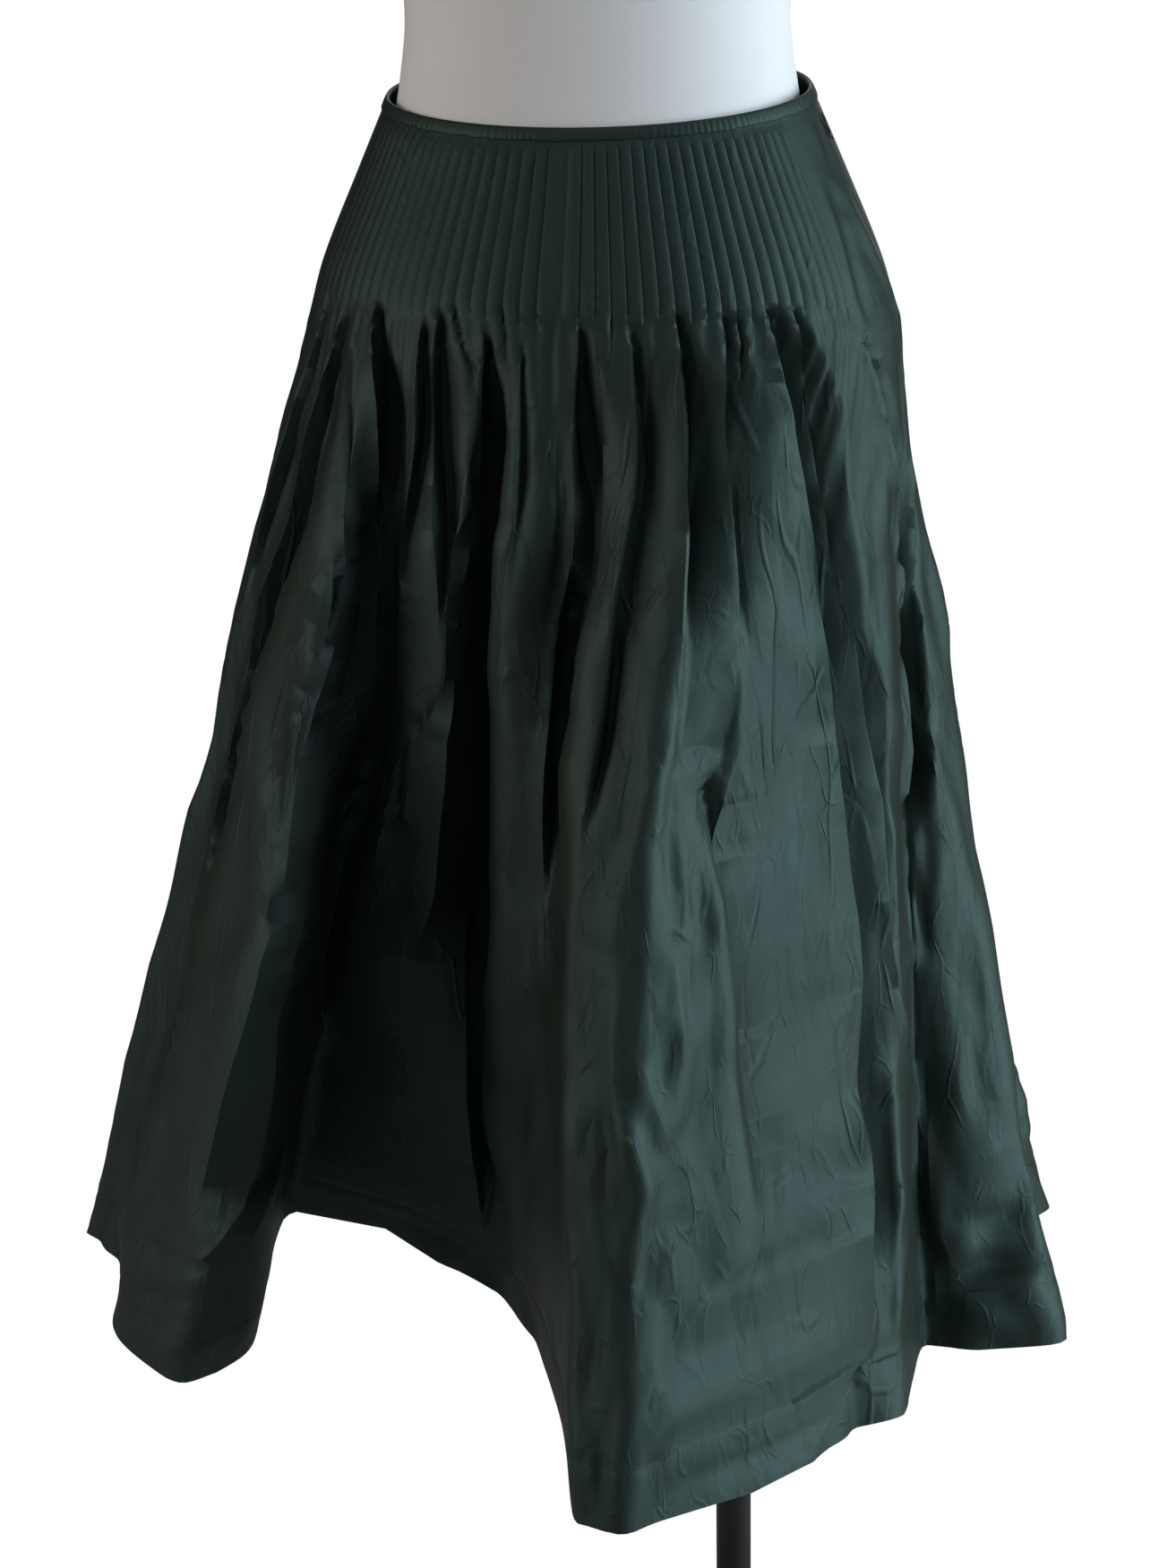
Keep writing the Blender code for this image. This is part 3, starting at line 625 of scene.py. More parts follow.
def creases(angle, drop):
    """Height of the listed creases; those that cross the columns are wider and rounder."""
    scale = cloth_per_degree(angle, drop)
    crisp, total = np.zeros_like(angle), np.zeros_like(angle)
    for height, left_width, right_width, places in ALL_LONG_CREASES:
        away = level_away(angle, gap_centre(places, drop), scale)
        least = SLANTED_LEAST if is_slanted(places) else CREASE_LEAST
        side = np.where(away < 0, -away / max(left_width, least), away / max(right_width, least))
        begins, stops = drop - places[0][0] + 0.01, places[-1][0] + 0.01 - drop
        ends = smoothstep(begins / CREASE_FADE) * smoothstep(stops / CREASE_FADE)
        near = np.clip(1.0 - side, 0.0, 1.0)
        if is_slanted(places):
            total += height * smoothstep(near) * ends
        else:
            crisp += height * near ** 1.2 * ends
    for drop_from, angle_from, drop_to, angle_to, height, half_width in ALL_SHORT_CREASES:
        away, down = level_away(angle, angle_from, scale), drop - drop_from
        run, fall = (angle_to - angle_from) * scale, drop_to - drop_from
        share = np.clip((away * run + down * fall) / (run ** 2 + fall ** 2), 0.0, 1.0)
        distance = np.hypot(away - share * run, down - share * fall) / (1.35 * half_width)
        ends = smoothstep(share / 0.25) * smoothstep((1.0 - share) / 0.25) * 0.7 + 0.3
        total += height * smoothstep(1.0 - distance) * ends
    return crisp + soften(total, 2)


ALL_GAPS = with_rear(FRONT_GAPS, snapped=True)
ALL_LONG_CREASES = with_rear(LONG_CREASES)
ALL_SHORT_CREASES = SHORT_CREASES + tuple(
    (drop_from, angle_from + 176.0, drop_to, angle_to + 176.0, *sizes)
    for drop_from, angle_from, drop_to, angle_to, *sizes in SHORT_CREASES if angle_from < REAR_WIDEST)


# ================================================================ the ring of cloth
def cloth_rows():
    rows = [0.0]
    for low, high, count in ROW_STRETCHES:
        rows += list(np.linspace(low, high, count + 1)[1:])
    return np.array(rows)


def quarter_columns():
    """Tucked angle, released angle and crest of the columns from a middle to a side seam."""
    columns = [(angle, angle, 0.0) for angle in np.linspace(0.0, PLAIN_HALF, PLAIN_COLUMNS + 1)[:-1]]
    for index in range(TUCKS_PER_QUARTER):
        start = PLAIN_HALF + index * TUCK_PITCH
        for step, (share, crest) in enumerate(TUCK_PROFILE):
            columns.append((start + share * TUCK_PITCH,
                            start + step / len(TUCK_PROFILE) * TUCK_PITCH, crest))
    tucks_end = PLAIN_HALF + TUCKS_PER_QUARTER * TUCK_PITCH
    columns += [(angle, angle, 0.0) for angle in np.linspace(tucks_end, 90.0, SEAM_COLUMNS)]
    return columns


def follow_gaps(angles, drops):
    """Move the columns so that four of them run down each gap, at its crisp edge and along its floor,
    and one down each long crease."""
    count = angles.shape[1]
    index = np.arange(count + 1.0)
    closed = np.concatenate((angles, angles[:, :1] + 360.0), axis=1)
    anchors = {place: closed[:, place].copy() for place in (0, count // 2, count)}

    def line_of(places):
        """A line's angle and column in each row, and the rows that it runs through."""
        centre = (gap_centre(places, drops) + 90.0) % 360.0 - 90.0
        place = np.array([np.interp(angle, row, index) for angle, row in zip(centre, closed)])
        return centre, place, (drops >= places[0][0]) & (drops < places[-1][0])

    for floor, flank, depth, height, places in sorted(ALL_GAPS, key=lambda gap: -gap[2]):
        centre, place, inside = line_of(places)
        top, end = places[0][0], places[-1][0]
        wanted = int(round(place[inside][0] if top < TUCK_RELEASE else place[inside].mean()))
        if min(abs(wanted + step - other) for other in anchors for step in (-2, 2)) < 2:
            continue
        scale = cloth_per_degree(centre, drops)
        half = np.maximum(0.5 * floor * gap_envelopes(places, drops)[1], 0.0004)
        start = max(top - 0.02, TUCK_RELEASE)
        hold = smoothstep((drops - start) / 0.02) * smoothstep((end + 0.12 - drops) / 0.12)
        for step, offset in ((-2, -half - GAP_WALL - 0.0016), (-1, -half - GAP_WALL), (0, -half), (1, half)):
            own = closed[:, wanted + step]
            anchors[wanted + step] = own + hold * (centre + offset / scale - own)
    for *sizes, places in sorted(ALL_LONG_CREASES, key=lambda crease: -abs(crease[0])):
        centre, place, inside = line_of(places)
        top, end = places[0][0], places[-1][0]
        if top < TUCK_RELEASE or is_slanted(places) or not inside.any():
            continue
        wanted = int(round(place[inside].mean()))
        if min(abs(wanted - other) for other in anchors) < 2:
            continue
        before = max(other for other in anchors if other < wanted)
        after = min(other for other in anchors if other > wanted)
        hold = smoothstep((drops - top + 0.03) / 0.03) * smoothstep((end + 0.05 - drops) / 0.05)
        line = closed[:, wanted] + hold * (centre - closed[:, wanted])
        anchors[wanted] = np.clip(line, anchors[before] + 0.2 * (wanted - before),
                                  anchors[after] - 0.2 * (after - wanted))
    order = sorted(anchors)
    least = 0.03 * np.array(order)
    held = np.maximum.accumulate(np.stack([anchors[column] for column in order], 1) - least, axis=1)
    for column in (0, count // 2, count):
        held[:, order.index(column)] = closed[:, column] - least[order.index(column)]
    held = np.minimum.accumulate(held[:, ::-1], axis=1)[:, ::-1] + least
    for row, own in enumerate(closed):
        angles[row] = np.interp(own, own[order], held[row])[:-1]
    return angles


def crowded_angles(count, first, last, drop):
    """Angles of a panel's columns in one row, closer where the gaps are."""
    fine = np.linspace(first, last, 1201)
    wanted = crowding(fine, np.full_like(fine, drop))
    even = np.cumsum(np.concatenate(([0.0], (wanted[1:] + wanted[:-1]) / 2)))
    mixed = HEM_EVENNESS * even / even[-1] + (1 - HEM_EVENNESS) * (fine - first) / (last - first)
    return np.interp(np.linspace(0.0, 1.0, count), mixed, fine)


def ring_columns():
    """The columns of the whole ring: front panel from seam to seam, then the back panel."""
    quarter = quarter_columns()
    tucked, released, crest = [], [], []
    for middle in (0.0, 180.0):
        side = [(middle - t, middle - r, c) for t, r, c in reversed(quarter[1:])]
        side += [(middle + t, middle + r, c) for t, r, c in quarter]
        side = side[:-1]           # the left seam's column opens the next panel
        shift = MIDDLE_SHIFT if middle == 0.0 else 0.0
        for part, angles in enumerate((tucked, released)):
            angles += [row[part] + shift * (1.0 - abs(row[part] - middle) / 90.0) ** 2 for row in side]
        crest += [row[2] for row in side]
    return np.array(tucked), np.array(released), np.array(crest)


class Ring:
    """Angle, drop and crest of every point of the ring, rows by columns."""

    def __init__(self):
        tucked, released, crest = ring_columns()
        rows = cloth_rows()[:, None]
        count = len(tucked) // 2
        self.panel_columns = count
        number = tuck_phase(released - 0.01)[1]
        ends = TUCK_END + TUCK_UNEVENNESS * (hashed(number, 8.0) - 0.5)
        opened = smoothstep((rows - ends) / (TUCK_RELEASE - TUCK_END))
        spread = smoothstep((rows - SPREAD_START) / (SPREAD_END - SPREAD_START))
        settled = (1 - opened) * tucked + opened * released
        crowded = settled.copy()
        for row, drop in enumerate(rows[:, 0]):
            if drop > SPREAD_START:
                crowded[row] = np.concatenate([crowded_angles(count + 1, first, first + 180.0, drop)[:-1]
                                               for first in (-90.0, 90.0)])
        self.angle = (1 - spread) * settled + spread * crowded
        self.drop = np.broadcast_to(rows, self.angle.shape).copy()
        fallen = rows[:, 0] > TUCK_RELEASE
        self.angle[fallen] = follow_gaps(self.angle[fallen], rows[fallen, 0])
        rise = smoothstep((rows - TUCK_TOP) / (TUCK_FULL - TUCK_TOP))
        self.crest = crest * rise * (1 - opened)


def gradient_round(points):
    """Change of a ring of points along its columns."""
    return (np.roll(points, -1, axis=1) - np.roll(points, 1, axis=1)) / 2.0


def ring_normals(points):
    normals = np.cross(gradient_round(points), -np.gradient(points, axis=0))
    normals /= np.linalg.norm(normals, axis=2, keepdims=True) + 1e-12
    centre = points.mean(axis=1, keepdims=True)
    top = points[0] - centre[0]
    return normals if np.sum(normals[0] * top) > 0 else -normals


def soften(field, times):
    """Smooth a ring of vectors along rows and columns."""
    for _ in range(times):
        across = (np.roll(field, 1, axis=1) + np.roll(field, -1, axis=1) + 2 * field) / 4
        padded = np.concatenate((across[:1], across, across[-1:]))
        field = (padded[:-2] + padded[2:] + 2 * across) / 4
    return field


def fallen_cloth(angle, drop):
    """Points of the cloth's inner face at arrays of angle and drop, without tucks and crumples."""
    line = fold_line(angle)
    plan = np.where((drop <= YOKE_DROP)[..., None], yoke_plan(angle, drop), fall_plan(angle, drop, line))
    share = np.maximum(drop - YOKE_DROP, 0.0) / (HEM_DROP - YOKE_DROP)
    tilt = -WAIST_DIP * np.cos(np.radians(angle)) * (1.0 - smoothstep(drop / YOKE_DROP))
    height = tilt - drop + line[..., 4] * share ** 2
    return np.concatenate((plan, height[..., None]), -1)


def tuck_phase(angle):
    """Where an angle lies in its tuck, from 0 at its root to 1, and the tuck's own number."""
    from_middle = np.abs((angle + 90.0) % 180.0 - 90.0)
    place = (from_middle - PLAIN_HALF) / TUCK_PITCH
    number = np.floor(place)
    return place - number, number + 31.0 * np.floor((angle + 90.0) / 90.0)


def hashed(number, seed):
    """A repeatable value from 0 to 1 for each whole number."""
    value = np.sin(number * 12.9898 + seed * 78.233) * 43758.5453
    return value - np.floor(value)


def small_gathers(angle, drop, height):
    """The small ridges that each tuck's released cloth makes, fading and joining as they fall."""
    phase, number = tuck_phase(angle)
    length = 0.045 + 0.110 * hashed(number, 3.0)
    size = 0.45 + 0.75 * hashed(number, 5.0)
    rise = smoothstep((drop - TUCK_END + 0.004) / 0.024)
    fade = smoothstep((0.135 + length - drop) / length)
    puff = phase ** 1.4 * np.clip((1.0 - phase) / 0.12, 0.0, 1.0) - 0.3
    return height * size * puff * rise * fade


def smooth_noise(across, down, seed):
    """Soft waves with no clear repeat, from -1 to 1, closed round the ring."""
    turn = np.radians(across)
    return (np.sin(3.0 * turn + 11.0 * down + seed) * 0.4
            + np.sin(7.0 * turn - 17.0 * down + 2.1 * seed) * 0.35
            + np.sin(13.0 * turn + 31.0 * down + 3.7 * seed) * 0.25)


def facets(angle, drop, cells_round, cell_height, seed):
    """A crumpled surface of flat facets with crisp edges, from -1 to 1, closed round the ring."""
    across = angle / 360.0 * cells_round + 0.55 * smooth_noise(2.0 * angle, 1.6 * drop, seed)
    down = drop / cell_height + 0.50 * smooth_noise(3.0 * angle, 1.2 * drop, seed + 5.0)
    down = down + 0.35 * across
    column, row = np.floor(across), np.floor(down)
    step_across, step_down = across - column, down - row

    def corner(add_across, add_down):
        place = np.mod(column + add_across, cells_round) + 517.0 * (row + add_down)
        return 2.0 * hashed(place, seed) - 1.0

    first = np.where(step_across > step_down, corner(1, 0), corner(0, 1))
    weight_far = np.minimum(step_across, step_down)
    weight_first = np.abs(step_across - step_down)
    return (corner(0, 0) * (1.0 - weight_far - weight_first) + first * weight_first
            + corner(1, 1) * weight_far)


def crumples(angle, drop, amount):
    """Creases all over the fallen cloth, stronger in some places than in others."""
    below = smoothstep((drop - 0.130) / 0.100)
    strong = 0.55 + 0.45 * smooth_noise(angle, 1.4 * drop, 4.0)
    wide = facets(angle, drop, 36, 0.110, 1.3) * 0.0050
    middle = facets(angle + 20.0, drop, 76, 0.060, 2.7) * 0.0034 * (0.3 + strong)
    return amount * below * (wide + middle)


def uneven(angle, cells, seed):
    """Soft unevenness along the ring, from -1 to 1, with so many waves of no fixed size."""
    place = np.mod(angle, 360.0) / 360.0 * cells
    low = np.floor(place)
    share = smoothstep(place - low)
    before, after = hashed(np.mod(low, cells), seed), hashed(np.mod(low + 1, cells), seed)
    return 2.0 * (before * (1 - share) + after * share) - 1.0


def hem_line(angle, drop):
    """The groove of the hem's stitch line and the puckers across it."""
    away = drop - HEM_STITCH_DROP
    pucker = uneven(angle, 260, 6.0) * np.exp(-(away / 0.011) ** 2) + 0.5 * uneven(
        angle, 120, 7.0) * np.exp(-((away - 0.012) / 0.016) ** 2)
    return HEM_PUCKER * pucker - HEM_GROOVE * np.exp(-(away / 0.0030) ** 2)


def simulate_crumples(points, ring, settings):
    """How far the cloth's points move when a coarser copy of it grows a little and buckles."""
    drops = ring.drop[:, 0]
    wanted = np.arange(SIM_TOP, HEM_DROP + 1e-6, SIM_STEP)
    rows = np.unique(np.searchsorted(drops, wanted).clip(0, len(drops) - 1))
    columns = np.arange(0, points.shape[1], SIM_COLUMN_STEP)
    start = points[np.ix_(rows, columns)]
    high, wide = start.shape[:2]
    index = np.arange(high * wide).reshape(high, wide)
    beside = np.roll(index, -1, axis=1)
    faces = np.stack((index[:-1], index[1:], beside[1:], beside[:-1]), -1).reshape(-1, 4)
    item = new_mesh_object("crumple_cloth", start.reshape(-1, 3), faces)
    hold = item.vertex_groups.new(name="hold")
    hold.add([int(i) for i in index[:2].ravel()], 1.0, "REPLACE")
    hold.add([int(i) for i in index[2:].ravel()], SIM_HOLD, "REPLACE")
    cloth = item.modifiers.new("cloth", "CLOTH")
    values = cloth.settings
    values.quality = 4
    values.mass = 0.15
    values.tension_stiffness = values.compression_stiffness = 25.0
    values.shear_stiffness = 10.0
    values.bending_stiffness = settings.stiffness
    values.air_damping = 2.0
    item.shape_key_add(name="Basis")
    wide_shape = item.shape_key_add(name="rest")
    grown = start * np.array((1.0 + settings.growth, 1.0 + settings.growth, 1.0 + 0.3 * settings.growth))
    wide_shape.data.foreach_set("co", grown.ravel())
    values.rest_shape_key = wide_shape
    values.vertex_group_mass = "hold"
    values.pin_stiffness = SIM_PIN
    values.effector_weights.gravity = 0.2
    cloth.collision_settings.use_collision = False
    cloth.point_cache.frame_end = SIM_FRAMES
    scene = bpy.context.scene
    for frame_number in range(1, SIM_FRAMES + 1):
        scene.frame_set(frame_number)
    held = item.evaluated_get(bpy.context.evaluated_depsgraph_get())
    settled = np.zeros(high * wide * 3)
    held.data.vertices.foreach_get("co", settled)
    moved = settled.reshape(high, wide, 3) - start
    bpy.data.objects.remove(item)
    scene.frame_set(1)
    across = np.arange(points.shape[1]) / SIM_COLUMN_STEP
    left = np.floor(across).astype(int) % wide
    share = (across - np.floor(across))[None, :, None]
    level = moved[:, left] * (1 - share) + moved[:, (left + 1) % wide] * share
    place = np.interp(drops, drops[rows], np.arange(high))
    below = np.minimum(np.floor(place).astype(int), high - 2)
    share = (place - below)[:, None, None]
    fine = level[below] * (1 - share) + level[below + 1] * share
    return fine * (drops >= drops[rows[0]])[:, None, None]


def make_cloth(settings):
    """The finished ring: outer points, inner points, and the ring itself."""
    ring = Ring()
    base = fallen_cloth(ring.angle, ring.drop)
    normals = soften(ring_normals(base), 2)
    sideways = np.cross(np.array((0.0, 0.0, 1.0)), normals)
    sideways /= np.linalg.norm(sideways, axis=2, keepdims=True)
    drawn, crest = gathers(ring.angle, ring.drop)
    lift = (ring.crest * settings.tuck_height + soften(small_gathers(ring.angle, ring.drop, settings.puff), 1)
            + crest - drawn + creases(ring.angle, ring.drop)
            + crumples(ring.angle, ring.drop, settings.crumple) + hem_line(ring.angle, ring.drop))
    lean = settings.lean * crest
    wall = np.where(ring.drop >= HEM_BAND_DROP, HEM_WALL, CLOTH_WALL)[..., None]
    outer = base + normals * (lift[..., None] + CLOTH_WALL) + sideways * lean[..., None]
    outer = outer + simulate_crumples(outer, ring, settings)
    inner = outer - soften(ring_normals(outer), 1) * wall
    return outer + SKIRT_PLACE, inner + SKIRT_PLACE, ring


def panel_of(field, side, ring):
    """One panel's columns out of a ring, 0 for the front and 1 for the back."""
    count = ring.panel_columns
    columns = np.arange(side * count, side * count + count + 1) % field.shape[1]
    return field[:, columns].copy()


def lap_seams(points):
    """Let a panel's end columns reach half the seam's lap into the next panel."""
    for end, neighbour in ((0, 1), (-1, -2)):
        towards = points[:, neighbour] - points[:, end]
        towards /= np.linalg.norm(towards, axis=1, keepdims=True) + 1e-12
        points[:, end] -= towards * SEAM_LAP / 2
    return points


def grid_faces(rows, columns, start=0, flip=False):
    index = np.arange(rows * columns).reshape(rows, columns) + start
    quads = np.stack((index[:-1, :-1], index[1:, :-1], index[1:, 1:], index[:-1, 1:]), -1).reshape(-1, 4)
    return quads[:, ::-1] if flip else quads


def wall_mesh(outer, inner):
    """Points and faces of a closed wall; the inner face has every second row of the outer one."""
    inner = inner[::2]
    rows, columns = outer.shape[:2]
    inner_rows, count = inner.shape[0], rows * columns
    points = np.concatenate((outer.reshape(-1, 3), inner.reshape(-1, 3)))
    faces = grid_faces(rows, columns).tolist() + grid_faces(inner_rows, columns, count, True).tolist()
    near = np.arange(count).reshape(rows, columns)
    far = np.arange(inner_rows * columns).reshape(inner_rows, columns) + count
    for row, order in ((0, 1), (-1, -1)):
        for column in range(columns - 1):
            face = (near[row, column], near[row, column + 1], far[row, column + 1], far[row, column])
            faces.append(face[::order])
    for column, order in ((0, -1), (-1, 1)):
        for row in range(inner_rows - 1):
            face = (near[2 * row, column], near[2 * row + 1, column], near[2 * row + 2, column],
                    far[row + 1, column], far[row, column])
            faces.append(face[::order])
    return points, faces

# ================================================================ making objects
def place_object(name, data):
    item = bpy.data.objects.new(name, data)
    bpy.context.scene.collection.objects.link(item)
    return item


def new_mesh_object(name, points, faces, smooth=True):
    mesh = bpy.data.meshes.new(name)
    mesh.from_pydata([tuple(point) for point in points], [], [tuple(int(i) for i in face) for face in faces])
    mesh.validate()
    if smooth:
        mesh.shade_smooth()
    return place_object(name, mesh)


def closed_piece(name, points, faces, sharp_angle=None):
    """A closed mesh with its faces turned outwards, drawn sharp where they meet at more than an angle."""
    item = new_mesh_object(name, points, faces)
    builder = bmesh.new()
    builder.from_mesh(item.data)
    bmesh.ops.recalc_face_normals(builder, faces=builder.faces)
    builder.to_mesh(item.data)
    builder.free()
    if sharp_angle:
        item.data.set_sharp_from_angle(angle=math.radians(sharp_angle))
    return item


def finish_piece(item, material, replaced=()):
    """Give a piece its material, body, slot and the nodes it stands for."""
    item.data.materials.clear()
    item.data.materials.append(material)
    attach(item, "root")
    if replaced:
        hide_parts(*replaced)
    return item


def add_uv(item, values):
    """A UV map, in metres of cloth, from one value pair per vertex."""
    layer = item.data.uv_layers.new(name="cloth")
    corner = np.zeros(len(item.data.loops), dtype=np.int32)
    item.data.loops.foreach_get("vertex_index", corner)
    layer.data.foreach_set("uv", values[corner].astype(np.float32).ravel())


def hem_stitches(node, side, outer, ring, thread):
    """The row of stitches along a panel's hem."""
    row = int(np.argmin(np.abs(ring.drop[:, 0] - HEM_STITCH_DROP)))
    lifted = panel_of(outer + 0.0001 * ring_normals(outer), side, ring)[row]
    item = row_along(node + "_hem_stitches", lifted[3:-3], STITCH_SPACING, STITCH_SIZE, thread)
    return finish_piece(item, thread)


def make_panel(node, side, outer, inner, ring, material, thread):
    skin, lining = (lap_seams(panel_of(points, side, ring)) for points in (outer, inner))
    item = closed_piece(node + "_cloth", *wall_mesh(skin, lining), CREASE_ANGLE)
    step = np.linalg.norm(np.diff(skin, axis=1), axis=2)
    width = np.concatenate((np.zeros((skin.shape[0], 1)), np.cumsum(step, axis=1)), axis=1)
    length = np.broadcast_to(panel_of(ring.drop, side, ring), width.shape)
    flat = np.stack((width, length), -1)
    add_uv(item, np.concatenate((flat.reshape(-1, 2), flat[::2].reshape(-1, 2))))
    # The bend attribute paints shade into the valleys of the cloth's colour and lightens its ridges, partly as
    # wear and partly as painted highlight.
    bend = panel_of(fold_of(outer), side, ring)
    attribute = item.data.attributes.new("bend", "FLOAT", "POINT")
    attribute.data.foreach_set("value", np.concatenate((bend.ravel(), -bend[::2].ravel())).astype(np.float32))
    finish_piece(item, material, (node,))
    stitches = hem_stitches(node, side, outer, ring, thread)


def fold_of(points):
    """How much the cloth stands out of its surroundings: above 0 on ridges, under 0 in valleys."""
    return np.sum((points - soften(points, 6)) * ring_normals(points), axis=2) / 0.0010


def closed_ring(sections):
    """Points and faces of a tube that closes on itself: sections are profile points by columns."""
    parts, count = sections.shape[:2]
    index = np.arange(parts * count).reshape(parts, count)
    after = np.roll(index, -1, axis=0)
    faces = np.stack((index, np.roll(index, -1, axis=1), np.roll(after, -1, axis=1), after), -1)
    return sections.reshape(-1, 3), faces.reshape(-1, 4)


def cloth_side(angle, drop, out):
    """Points on the yoke's plain cloth, so far outside its outer face."""
    top = np.maximum(drop, 0.001)
    along = fallen_cloth(angle + 0.5, drop) - fallen_cloth(angle - 0.5, drop)
    normal = np.cross(along, fallen_cloth(angle, top) - fallen_cloth(angle, top + 0.004))
    normal /= np.linalg.norm(normal, axis=-1, keepdims=True)
    point = fallen_cloth(angle, np.maximum(drop, 0.0))
    point[..., 2] += np.maximum(-drop, 0.0)
    return point + normal * (np.asarray(out)[..., None] + CLOTH_WALL) + SKIRT_PLACE


def make_binding(material):
    """The narrow gathered strip folded over the waist edge."""
    angle = np.linspace(0.0, 360.0, BINDING_COLUMNS, endpoint=False)
    phase = angle / 360.0 * BINDING_TICKS + 0.9 * uneven(angle, 70, 2.0)
    tick = np.abs(np.sin(math.pi * phase)) ** 0.7 * (0.75 + 0.25 * uneven(angle, 90, 5.0)) - 0.5
    sections = []
    for drop, out in BINDING_PROFILE:
        outside = smoothstep((out + 0.0002) / 0.0010)
        edge = 0.0004 * uneven(angle, 110, 9.0) * smoothstep((drop - 0.004) / 0.003)
        raised = out + BINDING_TICK * tick * outside
        sections.append(cloth_side(angle, np.full_like(angle, drop) + edge, raised))
    item = closed_piece("waist_binding", *closed_ring(np.array(sections)))
    around = np.linspace(0.0, 1.0, len(BINDING_PROFILE))[:, None]
    length = np.cumsum(np.linalg.norm(np.diff(sections[2], axis=0, append=sections[2][:1]), axis=1))
    flat = np.stack(np.broadcast_arrays(length[None, :], BINDING_ROUND * around), -1)
    add_uv(item, flat.reshape(-1, 2))
    finish_piece(item, material, ("waist_edge",))


def make_zip_tape(tape, coil):
    """The two tapes just inside the left side seam, and the coil between them."""
    drops = np.linspace(ZIP_TOP, ZIP_END, ZIP_ROWS)[:-1]
    parts = []
    for side in (-1.0, 1.0):
        across = side * np.array((0.0004, 0.0012, 0.0024, 0.0044, ZIP_TAPE_HALF))
        ridge = np.array((0.0005, 0.0004, 0.0001, 0.0, 0.0))
        angle = 90.0 + np.degrees(across[None, :] / table_at(YOKE_SECTIONS, drops, 2)[:, None])
        drop = np.broadcast_to(drops[:, None], angle.shape)
        inside = np.broadcast_to(-CLOTH_WALL - ZIP_INSIDE - ridge, angle.shape)
        parts.append(wall_mesh(cloth_side(angle, drop, inside),
                               cloth_side(angle, drop, inside - ZIP_TAPE_WALL)))
    points = np.concatenate([part[0] for part in parts])
    faces = parts[0][1] + [tuple(i + len(parts[0][0]) for i in face) for face in parts[1][1]]
    item = closed_piece("zip_tape", points, faces, 40.0)
    finish_piece(item, tape, ("side_zip",))
    ends = np.array((ZIP_END - 0.003, ZIP_TOP + 0.002))
    path = cloth_side(np.full(2, 90.0), ends, np.full(2, -CLOTH_WALL - 0.0020))
    teeth = finish_piece(row_along("zip_coil", path, COIL_SPACING, COIL_SIZE, coil), coil)


def make_zip_slider(material):
    """The small pull that hangs on the seam from the zip's slider."""
    low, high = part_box("zip_pull")
    length = high.z - low.z
    along, widths = np.array(PULL_OUTLINE).T
    around = np.linspace(0.0, 2.0 * math.pi, 48, endpoint=False)
    place = 0.5 * (1.0 - np.cos(around))
    wave = np.sin(around)
    half = np.interp(place, along, widths) * np.sign(wave) * np.clip(np.abs(wave) / 0.35, 0, 1)
    hole_place = 0.17 + 0.075 * (-np.cos(around))
    hole_half = 0.0008 * wave
    slope = (high.x - low.x - 0.0014) / length
    sections = []
    for share, depth in PULL_PROFILE:
        down = ((1 - share) * place + share * hole_place) * length
        width = (1 - share) * half + share * hole_half
        sections.append(np.stack((low.x + 0.0002 + slope * down + PULL_WALL * depth,
                                  (low.y + high.y) / 2 + width, high.z - down), -1))
    item = closed_piece("zip_slider", *closed_ring(np.array(sections)), 50.0)
    finish_piece(item, material, ("zip_pull",))


# ================================================================ nodes
def set_inputs(node, values):
    """Give a node's inputs their values; an output socket of another node is linked instead."""
    for key, value in values.items():
        if isinstance(value, bpy.types.NodeSocket):
            node.id_data.links.new(value, node.inputs[key])
        else:
            node.inputs[key].default_value = value


def add_node(tree, kind, inputs=None, **settings):
    node = tree.nodes.new(kind)
    down, along = divmod(len(tree.nodes) - 1, 8)
    node.location = (220 * along, -340 * down)
    for key, value in settings.items():
        setattr(node, key, value)
    set_inputs(node, inputs or {})
    return node


def new_group(name, kind, inputs, outputs):
    """A node group with its sockets, and what comes into it; its results go to a NodeGroupOutput."""
    group = bpy.data.node_groups.new(name, kind)
    for direction, sockets in (("INPUT", inputs), ("OUTPUT", outputs)):
        for socket, socket_kind in sockets.items():
            group.interface.new_socket(socket, in_out=direction, socket_type="NodeSocket" + socket_kind)
    return group, add_node(group, "NodeGroupInput").outputs


def maths(tree, operation, *values, clamp=False):
    node = add_node(tree, "ShaderNodeMath", dict(enumerate(values)), operation=operation, use_clamp=clamp)
    return node.outputs[0]


def noise(tree, vector, scale, detail=2.0, output="Fac"):
    inputs = {"Vector": vector, "Scale": scale, "Detail": detail}
    return add_node(tree, "ShaderNodeTexNoise", inputs).outputs[output]


def tinted(tree, colour, strength):
    return add_node(tree, "ShaderNodeVectorMath", {0: colour, "Scale": strength}, operation="SCALE").outputs[0]


def ramp(tree, value, from_low, from_high, to_low, to_high):
    """A smooth step from one value to another."""
    inputs = {"Value": value, "From Min": from_low, "From Max": from_high, "To Min": to_low, "To Max": to_high}
    return add_node(tree, "ShaderNodeMapRange", inputs, interpolation_type="SMOOTHSTEP").outputs[0]


